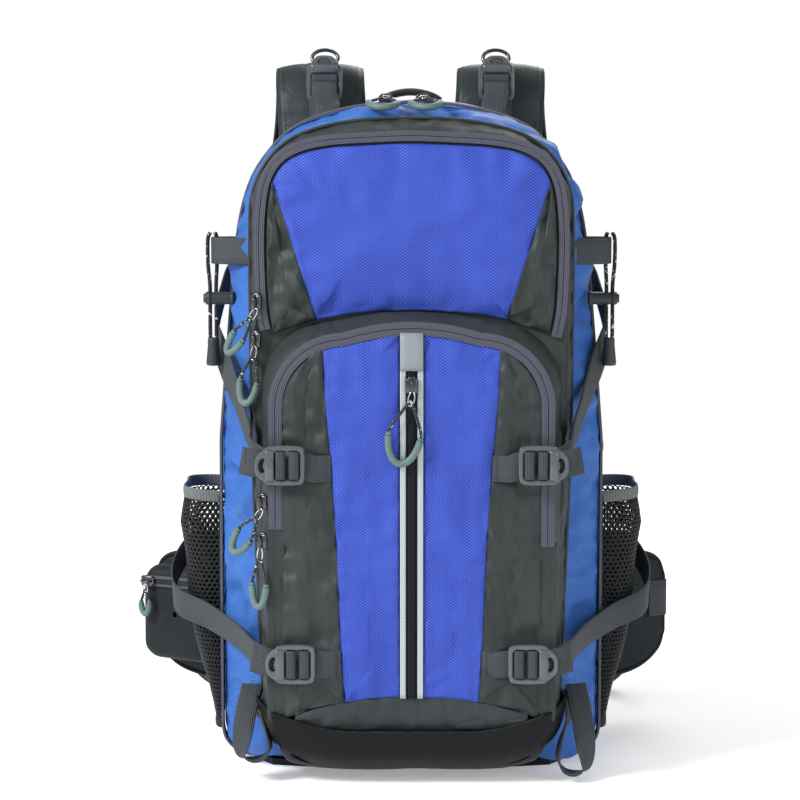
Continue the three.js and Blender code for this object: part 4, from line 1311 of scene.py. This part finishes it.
FRONT_FACING = Matrix(((1, 0, 0, 0), (0, 0, -1, 0), (0, 1, 0, 0), (0, 0, 0, 1)))
MIRROR = Matrix.Diagonal((-1, 1, 1, 1))


def placed(side, x, y, z, turn=0.0):
    """From a flat moulding to its place on the front: x grows outwards on both sides."""
    matrix = Matrix.Translation((x * MM, y * MM, z * MM)) @ Matrix.Rotation(turn, 4, "Y") @ FRONT_FACING
    return (MIRROR @ matrix) if side == LEFT else matrix


def ladder_lock(name):
    """The lock flat: webbing from the middle comes in at -x, and the thumb tab is at +x."""
    outer = np.array([(-18, -8.5), (-18, 8.5), (-14.5, 14), (6.5, 14.2), (11.5, 11.5), (15.5, 8.5), (18, 4.5),
                      (18, -4.5), (15.5, -8.5), (11.5, -11.5), (6.5, -14.2), (-14.5, -14)])
    outer = spline(np.vstack([outer, outer[:1]]), 73)[:-1]
    crescent = [(11.2, -4.6), (13.0, -5.2), (14.8, -3.2), (15.4, 0), (14.8, 3.2), (13.0, 5.2), (11.2, 4.6),
                (12.2, 0)]
    crescent = spline(np.array(crescent + crescent[:1], float), 41)[:-1]
    holes = [rounded(-5.2, 0, 19.2, 21.5, 3), crescent]
    parts = [cutout(name, [outer] + holes, 4.0, 1.1, PLASTIC)]
    rise = [(7.6, y, 2.0 + 0.9 * (1 - (y / 11) ** 2)) for y in np.linspace(-11, 11, 14)]
    parts.append(sweep(name + "_saddle", rise, (1, 0, 0), soft_section(6.4, 2.4, 2.4), PLASTIC))
    for k, x in enumerate((-10.2, -0.2)):
        parts.append(sweep(f"{name}_roll_{k}", [(x, y, 0.5) for y in np.linspace(-10.2, 10.2, 12)], (1, 0, 0),
                           soft_section(7.6, 6.0, 2.4), WEBBING))
    return merge(name, parts)


LOCKS = {"upper": (96, 241), "lower": (89, 94)}
LOCK_Y = -114.4
for which, (lock_x, lock_z) in LOCKS.items():
    for side in SIDES:
        lock = ladder_lock(f"{which}_ladder_lock_{SIDES[side]}")
        move(lock, placed(side, lock_x, LOCK_Y, lock_z))
        put(lock, f"{which}_lock_{SIDES[side]}", [f"{which}_lock_{SIDES[side]}"])
print("ladder locks:", len(LOCKS) * 2)

# %% [markdown]
# The compression straps. Each starts in the side seam, comes forward across the bag, goes up through the
# lock from behind, over its bar and back out as a tail. The anchor webbing holds the lock to the panel.

# %% Compression straps
UPPER_ROUTE = [(131, 93, 372), (141, 85, 369), (145.5, 70, 364), (147.6, 40, 354), (149.0, 0, 339),
               (145.5, -26, 322), (129, -63, 282), (119.5, -85, 258), (117, -97, 249), (112, -105, 245),
               (106, -109.4, 242), (98, -109.6, 241)]
LOWER_ROUTE = [(138, 93, 152), (160, 91, 151), (176, 84, 149), (184, 60, 142), (187, 30, 130), (180, 4, 119),
               (155, -22, 112), (130, -61, 104), (117, -92, 98), (109, -103, 95.5), (101, -109.2, 94),
               (92, -109.6, 94)]
ACROSS = {"upper": [(0, .25, 1), (0, .4, 1), (.1, .5, 1), (.2, .3, 1), (0.05, 0, 1)],
          "lower": [(0, .2, 1), (0, .3, 1), (.2, .3, 1), (.2, .2, 1), (0.03, 0, 1)]}


def mirror(points, side):
    return np.asarray(points, float) * (side, 1, 1)


def strap(name, points, across, side, body, replaces=(), **size):
    """Webbing that rides a body, drawn for the right side and mirrored for the left."""
    piece = webbing(name, mirror(points, side), mirror(np.atleast_2d(across), side), WEBBING, **size)
    return put(piece, body, replaces)


for side, word in SIDES.items():
    for which, route in (("upper", UPPER_ROUTE), ("lower", LOWER_ROUTE)):
        lock_x, lock_z = LOCKS[which]
        strap(f"{which}_compression_{word}", route, ACROSS[which], side, "pack", steps=90,
              replaces=[f"{which}_strap_{word}"])
        end_x, drop = (59, 3) if which == "upper" else (52, 1)
        panel_y = pocket_y(end_x + 2.0, lock_z - 3)
        anchor_z = lock_z - drop
        anchor = [(end_x, panel_y + 0.2, anchor_z), (end_x + 6, panel_y - 1.2, anchor_z),
                  (lock_x - 24, -111.2, anchor_z), (lock_x - 16, -111.3, lock_z),
                  (lock_x - 7, -111.3, lock_z)]
        strap(f"{which}_anchor_{word}", anchor, (0, 0, 1), side, "pack", steps=50)
        tail = [(lock_x + 3, -111.5, lock_z), (lock_x + 10, -111.4, lock_z),
                (lock_x + 17, -111.2, lock_z + 1), (lock_x + 23, -109.5, lock_z + 2),
                (lock_x + 28.5, -106.5, lock_z + 3)]
        strap(f"{which}_tail_{word}", tail, (0.05, 0.1, 1), side, "pack", steps=36)
        hem_line = [(lock_x + 25.25, -109.2, z) for z in np.linspace(lock_z - 6, lock_z + 12, 20)]
        hem = stitches(f"{which}_tail_stitch_{word}", mirror(hem_line, side), (side * 0.5, -0.85, 0),
                       DARK_THREAD, 2.4, 0.4)
        put(hem, "pack")
        bar_line = [(end_x + 3.0, panel_y - 1.9, z) for z in np.linspace(anchor_z - 9, anchor_z + 9, 20)]
        bar = stitches(f"{which}_anchor_stitch_{word}", mirror(bar_line, side), (0, -1, 0), DARK_THREAD, 1.6,
                       0.3)
        put(bar, "pack")
print("compression straps made")
# %% [markdown]
# Zip sliders and their pulls. A slider is a small die-cast body with a bridge; a bright wire bail hangs from
# it, and a loop of flecked cord runs through the bail into a moulded rubber grip.

# %% Sliders and pulls


def block(name, low, high, edge, material):
    """A box with rounded edges, in millimetres."""
    low, high = np.array(low, float), np.array(high, float)
    mesh = bmesh.new()
    bmesh.ops.create_cube(mesh, size=1)
    for v in mesh.verts:
        v.co = Vector(((low + high) / 2 + np.array(v.co) * (high - low)) * MM)
    bmesh.ops.bevel(mesh, geom=mesh.edges[:], offset=edge * MM, segments=2, affect="EDGES", profile=0.5)
    data = bpy.data.meshes.new(name)
    mesh.to_mesh(data)
    mesh.free()
    piece = new_object(name, data)
    data.materials.append(material)
    for polygon in data.polygons:
        polygon.use_smooth = True
    return piece


def ring_line(width, height, top, count=40, narrow=0.0):
    """An upright oval that hangs from `top`, in x and z; `narrow` makes its upper part slimmer."""
    turn = np.linspace(0, 2 * math.pi, count + 1)[:-1] + math.pi / 2
    half = width / 2 * (1 - narrow * np.maximum(0, np.sin(turn)))
    return np.stack([half * np.cos(turn), np.zeros(count), top + height / 2 * (np.sin(turn) - 1)], 1)


def slider_body(name):
    body = block(name, (-4.3, -3.2, -5.5), (4.3, 0.2, 5.5), 1.1, METAL)
    nose = block(name + "_nose", (-3.0, -3.0, 3.5), (3.0, 0.0, 7.0), 1.2, METAL)
    arch = [(0, -2.6, -5), (0, -4.8, -4.2), (0, -5.6, -1), (0, -5.4, 2.5), (0, -3, 4.4)]
    bridge = tube(name + "_bridge", arch, 0.95, METAL, 10, 16)
    return merge(name, [body, nose, bridge])


SLIDERS = [
    {"name": "centre", "at": (0, -110.4, 299), "lean": 0.18, "width": 28, "length": 53},
    {"name": "main_left", "at": (-19, -20, 504.8), "lie": -1.35, "lean": 0.08, "width": 26, "length": 42},
    {"name": "main_right", "at": (9, -20, 504.8), "lie": -1.35, "lean": -0.06, "width": 26, "length": 42},
    {"name": "upper_high", "at": (-113.5, -80.6, 358), "face": -0.5, "lean": 0.66, "width": 14, "length": 41},
    {"name": "upper_low", "at": (-114, -80.6, 330), "face": -0.5, "lean": 0.2, "width": 19, "length": 43},
    {"name": "pocket_high", "at": (-109, -99, 212), "face": -0.6, "lean": 0.68, "width": 18, "length": 42},
    {"name": "pocket_low", "at": (-109, -99, 183), "face": -0.6, "lean": 0.04, "width": 17, "length": 44},
    {"name": "hip", "at": (-214.3, 109.8, 117), "face": -0.4584, "level": True, "lean": 0, "width": 12,
     "length": 26},
]
LOOP_START = -3.4
for row in SLIDERS:
    word = row["name"]
    level = "lie" in row or "level" in row
    at = Matrix.Translation(Vector(row["at"]) * MM)
    turn = Matrix.Rotation(row.get("face", 0), 4, "Z") @ Matrix.Rotation(row.get("lie", 0), 4, "X")
    roll = Matrix.Rotation(math.pi / 2 if level else 0, 4, "Y")
    body = move(slider_body(f"{word}_slider_body"), at @ turn @ roll)
    put(body, f"{word}_slider", [f"{word}_slider"])
    out, below, bail_top = (-5.2, -3.6, 1.5) if level else (-4.2, -7.6, 3.6)
    hang = at @ turn @ Matrix.Translation((0, out * MM, below * MM)) @ Matrix.Rotation(row["lean"], 4, "Y")
    width, length = row["width"], row["length"]
    bail = tube(f"{word}_bail", ring_line(4.6, bail_top + 7.0, bail_top, 28), 0.55, WIRE, 8, closed=True)
    put(move(bail, hang), f"{word}_pull")
    half, tall = (width - 4.0) / 2, (length - 6.4) / 2
    loop = ring_line(2 * half, 2 * tall, LOOP_START, 64, narrow=0.72)
    cord = tube(f"{word}_pull_cord", loop, 1.15, CORD, 10, closed=True)
    put(move(cord, hang), f"{word}_pull", [f"{word}_pull"])
    turn_of = np.linspace(-0.06 * math.pi, -0.94 * math.pi, 36)
    grip_line = np.stack([half * np.cos(turn_of), np.zeros(36), LOOP_START + tall * (np.sin(turn_of) - 1)], 1)
    grip = sweep(f"{word}_grip", resample(grip_line, 40), (0, 1, 0), round_section(2.6, 14), RUBBER)
    collars = [tube(f"{word}_collar_{k}", [grip_line[i], grip_line[i] + (0, 0, 2.4)], 2.1, RUBBER, 12, 3)
               for k, i in ((0, 0), (1, 35))]
    grip = merge(f"{word}_grip", [grip] + collars)
    put(move(grip, hang), f"{word}_pull")
print("sliders and pulls:", len(SLIDERS))

# %% [markdown]
# Each side has a webbing loop for a walking pole with an elastic cord through it, a barrel lock that grips
# the cord and a bell that hides its knot.

# %% Pole loops, locks and bells
POLE_LOOP = [(119, -58, 394), (127, -54.5, 394), (136, -50, 394), (145.5, -43.5, 394), (149.6, -36.5, 394),
             (147, -29, 394), (138, -25.5, 394), (130, -24, 394)]
BARREL = [((133.4, 134.4, 144, 153.6, 154.6), 4.7, 20), ((153, 156.2), 3.4, 18), ((133.0, 135.6), 5.2, 20),
          ((150.6, 153.2), 5.2, 20)]
BELL = [(328.4, 1.6), (328.2, 3.9), (326.5, 4.3), (322, 4.3), (316, 4.9), (310, 5.5), (307.6, 5.3),
        (307.2, 3.6)]
for side, word in SIDES.items():
    loop = webbing(f"pole_webbing_{word}", mirror(POLE_LOOP, side), (0, 0, 1), WEBBING, 20, 1.6, 60)
    put(loop, "top", [f"pole_loop_{word}"])
    tuck = stitches(f"pole_stitch_{word}", mirror([(136, -50.2, 386), (136, -50.2, 402)], side),
                    (side * .5, -.85, 0), DARK_THREAD, 1.8, 0.3)
    put(tuck, "top")
    rods = []
    for k, (xs, radius, sides) in enumerate(BARREL):
        line = mirror([(x, CORD_Y, 358) for x in xs], side)
        rods.append(sweep(f"cord_rod_{word}_{k}", line, (0, 0, 1), round_section(radius, sides), DARK_RUBBER))
    lock = merge(f"cord_lock_body_{word}", rods)
    put(lock, f"cord_lock_{word}", [f"cord_lock_{word}"])
    bell_points = [(side * CORD_X + x, CORD_Y + y, z) for z, r in BELL for x, y in round_section(r, 20)]
    bell = make_piece(f"cord_bell_{word}", bell_points, rod_faces(len(BELL), 20), DARK_RUBBER)
    put(outward(bell), "top", [f"cord_end_{word}"])
    cord, line = shock_cords[side]

# %% [markdown]
# The loops at the foot hold a pole's basket. Each is one strip of webbing, sewn into the side seam, hanging
# forwards to the floor and back on itself.

# %% Foot loops
FOOT_LOOP = [(124, -62, 68), (126, -72, 57), (128.5, -80, 42), (130.5, -86, 24), (131, -88, 13),
             (128.5, -89, 6.5), (121, -89, 4.2), (113.5, -88, 7), (109.5, -87, 16), (112, -83, 30),
             (118, -74, 46), (121.5, -62, 60)]
FOOT_TURN = [(1, 0.1, 0), (1, 0.1, 0), (1, 0.1, 0), (1, 0.15, 0), (0.8, 0.5, 0), (0.45, 0.9, 0), (0.1, 1, 0),
             (-0.1, 1, 0), (0.0, 1, 0.1), (0.15, 1, 0), (0.5, 1, 0), (1, 0.6, 0)]
LOOP_TOP = 66
for side, shift, share in ((LEFT, 4, 0.8), (RIGHT, 0, 0.97)):
    word = SIDES[side]
    hang = np.array(FOOT_LOOP) - (shift, 0, 0)
    hang[:, 2] = LOOP_TOP - (LOOP_TOP - hang[:, 2]) * share
    strap(f"foot_webbing_{word}", hang, FOOT_TURN, side, f"bottom_loop_{word}", [f"bottom_loop_{word}"],
          width=16, steps=110)
    hem_edge = mirror([(117, -76.5, 52), (141, -70.5, 54)], side)
    hem = stitches(f"foot_stitch_{word}", hem_edge, (0, -1, 0.3), DARK_THREAD, 1.8, 0.2)
    put(hem, f"bottom_loop_{word}")
print("loops made")
# %% [markdown]
# The shoulder straps are foam between a cloth face and an air-mesh underside, bound at the edges, with a
# webbing strip, a lock for the load lifter and a metal ring on top.

# %% Shoulder straps
STRAP_ROUTE = [(70, 112, 444), (70.4, 120, 462), (71, 124, 486), (73, 134, 516), (74, 156, 530),
               (75, 182, 516), (78, 196, 478), (87, 199, 420), (98, 192, 350), (106, 180, 290),
               (110, 168, 236)]
STRAP_STEPS = 150
strap_line = spline(STRAP_ROUTE, STRAP_STEPS)
strap_ahead = unit(np.gradient(strap_line, axis=0))
strap_up = unit(np.cross(strap_ahead, np.array([1.0, 0, 0])))
if strap_up[40, 2] < 0:
    strap_up = -strap_up
strap_side = unit(np.cross(strap_up, strap_ahead))


def on_strap(across, height, low=0, high=STRAP_STEPS):
    """A line along the strap, `across` mm from its middle and `height` above its mid-plane."""
    return strap_line[low:high] + strap_side[low:high] * across + strap_up[low:high] * height


def strap_layer(name, width, low, high, material, side, swell, seed):
    """A padded layer of the strap between two heights, domed on top."""
    shares = np.concatenate([np.linspace(-1, 1, 15), np.linspace(1, -1, 15)[1:-1]])
    top = np.arange(len(shares)) < 15
    ring = []
    for share, is_top in zip(shares, top):
        dome = (1 - abs(share) ** 3.2) * swell
        ring.append((share * width / 2, high + dome if is_top else low - dome * 0.4))
    ring = np.array(ring)
    line = strap_line
    points = line[:, None] + strap_side[:, None] * ring[None, :, :1] + strap_up[:, None] * ring[None, :, 1:]
    slow = wobble(points, (18, 18, 12), seed)
    points = points + strap_up[:, None] * (0.7 * slow * np.abs(ring[None, :, 1] / 7))[..., None]
    uvs = np.stack([np.tile(ring[:, 0], len(line)), np.repeat(distances(line), len(ring))], 1)
    faces = rod_faces(len(line), len(ring))
    return outward(make_piece(name, mirror(points.reshape(-1, 3), side), faces, material, uvs))


for side, word in SIDES.items():
    body = f"strap_{word}"
    pad = strap_layer(f"strap_pad_{word}", 71, -2.0, 3.6, STRAP_CLOTH, side, 4.2, 71)
    put(pad, body, [f"shoulder_strap_{word}"])
    under = strap_layer(f"strap_mesh_{word}", 64, -6.4, -1.6, AIR_MESH, side, 0.8, 72)
    put(under, body)
    for k, across in enumerate((-34.3, 34.3)):
        trim = sweep(f"strap_binding_{word}_{k}", mirror(on_strap(across, -0.6), side), (1, 0, 0),
                     soft_section(3.4, 7.4, 2.4, 16), BINDING)
        put(trim, body)
        line = mirror(on_strap(across * 0.88, 5.3), side)
        row = stitches(f"strap_stitch_{word}_{k}", line, mirror(strap_up, side), DARK_THREAD, 3.4, 0.2)
        put(row, body)
    strip = sweep(f"strap_strip_{word}", mirror(on_strap(0, 7.6, 12, 140), side), (1, 0, 0),
                  webbing_section(20, 1.6), WEBBING)
    put(strip, body)
    for k, at in enumerate((16, 42, 70, 98, 126)):
        line = mirror(np.array([on_strap(a, 8.4)[at] for a in np.linspace(-9, 9, 16)]), side)
        bar = stitches(f"strap_bar_{word}_{k}", line, mirror(strap_up[at:at + 1], side), DARK_THREAD, 1.7,
                       0.3)
        put(bar, body)
    lock = ladder_lock(f"lifter_ladder_lock_{word}")
    move(lock, placed(side, 69, 114.4, 525, -math.pi / 2))
    put(lock, body, [f"lifter_lock_{word}"])
    tab_route = [(69, 121.5, 536), (69, 117.5, 538), (69, 113.5, 537), (69, 111.6, 532), (69, 113.0, 528.8)]
    tab = webbing(f"lifter_tab_{word}", mirror(tab_route, side), (1, 0, 0), WEBBING, 20, 1.6, 24)
    put(tab, body)
    ring_at = np.array([(69 + 10.5 * math.cos(t), 128.5 + 3 * math.sin(t), 541.5 + 6.5 * math.sin(t))
                        for t in np.linspace(0, 2 * math.pi, 33)[:-1]])
    ring_at[:, 2] = np.maximum(ring_at[:, 2], 537.6)
    d_ring = tube(f"strap_ring_{word}", mirror(ring_at, side), 1.5, METAL, 10, closed=True)
    put(d_ring, body)
    keeper_route = [(69, 121, 531), (69, 126, 538.8), (69, 131, 540.2), (69, 137, 538.2)]
    keeper = webbing(f"ring_keeper_{word}", mirror(keeper_route, side), (1, 0, 0), WEBBING, 18, 1.6, 20)
    put(keeper, body)
    lifter_route = [(66, 86, 492), (66, 90, 502), (67, 98, 506), (69, 108, 514), (69, 111.2, 519),
                    (69, 112.4, 522)]
    lifter = webbing(f"lifter_webbing_{word}", mirror(lifter_route, side), (1, 0, 0), WEBBING, 20, 1.6, 40)
    put_blend(lifter, ("pack", body), (side * 66, 92, 503), (side * 69, 110, 517), "webbing",
              [f"load_lifter_{word}"])
    tail_route = [(109.4, 170, 244), (111, 166, 226), (113, 158, 200), (116, 146, 160), (117, 132, 120),
                  (116, 121, 92), (114, 114, 76)]
    low = webbing(f"strap_tail_{word}", mirror(tail_route, side), (1, 0, 0), WEBBING, 20, 1.6, 60)
    put_blend(low, (body, "pack"), (side * 111, 165, 222), (side * 114, 116, 82), "webbing")
print("shoulder straps, each", round(length_of(strap_line)), "mm long")

# %% Haul loop
HAUL = [(-28, 105, 474), (-29, 105, 492), (-22, 106, 508), (0, 106, 514), (22, 106, 508), (29, 105, 492),
        (28, 105, 474)]
haul = webbing("haul_webbing", HAUL, (0, 1, 0), WEBBING, 18, 2.4, 70)
put(haul, "haul_loop", ["haul_loop"])
grip_line = spline(HAUL, 70)[20:50]
haul_grip = sweep("haul_grip", grip_line, (0, 1, 0), soft_section(19, 6, 2.6), BINDING)
put(haul_grip, "haul_loop")

# %% [markdown]
# The back is foam under air mesh in four pads, with an open channel up the middle and one across for air. The
# stiff sheet sits in a sleeve behind it.

# %% Back panel


def half_width(z):
    return np.interp(z, [40, 120, 250, 380, 458], [104, 112, 118, 114, 100])


def back_pad(name, x0, z0, z1):
    """One domed pad on the back, from x0 to the panel's edge."""
    rows, cols = 40, 26
    z = np.linspace(z0, z1, rows)[:, None] * np.ones((1, cols))
    x = x0 + (half_width(z) - x0) * np.linspace(0, 1, cols)[None]
    a = np.linspace(-1, 1, rows)[:, None]
    b = np.linspace(-1, 1, cols)[None]
    rise = (1 - np.abs(a) ** 8) * (1 - np.abs(b) ** 6)
    y = 104.6 + 6.6 * np.clip(rise, 0, 1) ** 0.5
    points = np.stack([x, y, z], 2)
    points[..., 1] += 0.35 * wobble(points, 14, 80)
    uvs = np.stack([x, z], 2).reshape(-1, 2)
    piece = make_piece(name, points.reshape(-1, 3), grid_faces(rows, cols), AIR_MESH, uvs)
    return thicken(face_towards(piece, 1), 3.0)


edge_ring = np.array([(half_width(z), z) for z in np.linspace(40, 458, 60)])
back_outline = np.vstack([edge_ring, edge_ring[::-1] * (-1, 1)])
base_points = np.array([(x, y, z) for y in (95.6, 104.0) for x, z in back_outline])
back_base = make_piece("back_base", base_points, rod_faces(2, 120), AIR_MESH, base_points[:, [0, 2]],
                       smooth=False)
put(outward(back_base), "pack", ["back_panel", "frame_sheet"])
for side in SIDES:
    for word, z0, z1 in (("lower", 44, 171), ("upper", 189, 454)):
        pad = back_pad(f"back_pad_{word}_{SIDES[side]}", 12, z0, z1)
        if side == LEFT:
            move(pad, MIRROR)
        put(pad, "pack")
trim_line = [(x, 99.5, z) for x, z in resample(np.vstack([back_outline, back_outline[:1]]), 300)[:-1]]
trim = sweep("back_binding", trim_line, (0, 1, 0), soft_section(10, 3.4, 3, 14), BINDING, closed=True)
put(trim, "pack")
print("back panel made")

# %% [markdown]
# The hip belt: a padded wing each side, a zipped pocket on the left one, and 30 mm webbing to a buckle that
# lies unfastened behind the pack.

# %% Hip belt
WING_TURN = math.atan2(38, 77)
WING_ORIGIN = (129, 111, 0)
WING_TOP = [(0, 138), (34, 137.5), (66, 136), (80, 130), (86, 116)]
WING_LOW = [(0, 34), (34, 36), (62, 42), (80, 55), (86, 70)]


def wing_place(points, side, origin=WING_ORIGIN):
    """From the wing's own x (outwards), y (towards the wearer) and z to the pack's frame."""
    points = np.asarray(points, float)
    c, s = math.cos(WING_TURN), math.sin(WING_TURN)
    x = origin[0] + points[..., 0] * c - points[..., 1] * s
    y = origin[1] + points[..., 0] * s + points[..., 1] * c
    return np.stack([side * x, y, points[..., 2] + origin[2]], -1)


wing_top, wing_low = spline(WING_TOP, 44), spline(WING_LOW, 44)
wing_edge = np.vstack([wing_low, wing_top[::-1]])


TAB_ROUTE = [(70, -12.4, 98), (80, -12.2, 98), (87.5, -10, 98), (88.5, -5, 98), (86, 0.5, 98)]
BELT_ROUTE = [(199, 148, 100), (203, 158, 99.5), (205, 172, 93), (203, 186, 78), (196, 200, 52),
              (186, 212, 26), (172, 222, 9), (156, 230, 3), (140, 235, 1.7), (118, 238, 1.9)]
BELT_TURN = [(0, 0, 1), (0, 0, 1), (0.1, 0.3, 0.8), (0.2, 0.8, 0.35), (0.25, 1, 0), (0.25, 1, 0), (0.2, 1, 0)]
WING_ROWS, WING_COLS = 30, 44
flat = np.array([wing_low + (wing_top - wing_low) * t for t in np.linspace(0.01, 0.99, WING_ROWS)])
closed_edge = np.vstack([wing_edge, wing_edge[:1]])
edge, _ = nearest_on(flat.reshape(-1, 2), closed_edge)
dome = 1 - np.exp(-edge.reshape(WING_ROWS, WING_COLS) / 4.5)
place = np.stack([flat[..., 0], 0 * dome, flat[..., 1]], 2)
wing_rim = [(x, -5.2, z) for x, z in resample(closed_edge, 200)[:-1]]
for side, word in SIDES.items():
    wing = f"wing_{word}"
    for face, y, rise, cloth, facing, slot_name, replaces in (
            ("outer", -9.5, -2.4, WING_CLOTH, -1, "grey_nylon", [f"hip_wing_{word}"]),
            ("inner", -0.5, 2.0, AIR_MESH, 1, "black_mesh", ())):
        own = y + rise * dome + 0.7 * wobble(place, (30, 30, 16), 90 + side)
        points = wing_place(np.stack([flat[..., 0], own, flat[..., 1]], 2), side).reshape(-1, 3)
        shape = make_piece(f"wing_{face}_{word}", points, grid_faces(WING_ROWS, WING_COLS), cloth,
                           flat.reshape(-1, 2))
        put(thicken(face_towards(shape, facing), 4.4), wing, replaces)
    across = wing_place((0, 1, 0), side) - wing_place((0, 0, 0), side)
    bound = sweep(f"wing_binding_{word}", wing_place(wing_rim, side), across, soft_section(11.5, 4, 2.6, 16),
                  BINDING, closed=True)
    put(bound, wing)
    tab = sweep(f"wing_tab_{word}", wing_place(spline(TAB_ROUTE, 30), side), (0, 0, 1),
                webbing_section(30, 1.6), WEBBING)
    put(tab, wing)
    strap(f"belt_strap_{word}", BELT_ROUTE, BELT_TURN, side, wing, [f"belt_webbing_{word}"], width=30,
          steps=110)
print("hip wings made")

# %% Hip pocket
POCKET_AT = (184, 117, 90)
pocket_flat = rounded(0, 0, 64, 76, 13, 8)
pocket_levels = [(4.0, 1.0), (-4, 1.02), (-11, 1.0), (-15.5, 0.93), (-17.6, 0.8), (-18.6, 0.5), (-18.9, 0.05)]
rows = np.array([wing_place([(x * s, y, z * s) for x, z in pocket_flat], LEFT, POCKET_AT)
                 for y, s in pocket_levels])
fine = np.stack([spline(rows[:, j], 34) for j in range(rows.shape[1])], 1)
hip_pouch, _ = cloth_skin("hip_pouch", fine[::-1], WING_CLOTH, swell=0.4, pucker=0.4, fold=1.1, seed=95,
                          fold_size=(30, 30, 16), hold=(False, True))
put(hip_pouch, "wing_left", ["hip_pocket"])
zip_line = wing_place([(x, -19.6, 27) for x in np.linspace(-27, 27, 40)], LEFT, POCKET_AT)
zip_face = unit(wing_place((0, -1, 0), LEFT) - wing_place((0, 0, 0), LEFT))
hip_tape = sweep("hip_zip_tape", zip_line, (0, 0, 1), soft_section(9, 1.2, 4), TAPE)
put(hip_tape, "wing_left")
for k, dz in enumerate((-1.1, 1.1)):
    coil = beads(f"hip_coil_{k}", zip_line + (0, 0, dz), zip_face, 1.2, (0.8, 2.4, 1.2), COIL, 0.7)
    put(coil, "wing_left")

# %% Buckle


def flat_block(name, outline, low, high, edge, holes=()):
    part = cutout(name, [outline, *holes], high - low, edge, PLASTIC)
    return move(part, Matrix.Translation((0, 0, (low + high) / 2 * MM)))


case = flat_block("belt_socket_case", rounded(-91.5, 239, 44, 38, 7), 0.4, 9.4, 1.6,
                  [rounded(-106.5, 239, 4.5, 31, 2)])
put(case, "wing_left", ["belt_socket"])
PLUG = [(0, -19), (14, -19), (14, -13), (36, -13), (36, -8), (18, -6), (18, -2), (32, -2), (32, 2), (18, 2),
        (18, 6), (36, 8), (36, 13), (14, 13), (14, 19), (0, 19)]
plug_line = np.array([(113.5 - x, 239 - y) for x, y in PLUG], float)
plug = flat_block("belt_plug_body", plug_line, 0.4, 5.4, 0.7, [rounded(107, 239, 5, 31, 1.5)])
put(plug, "wing_right", ["belt_plug"])
print("buckle made")
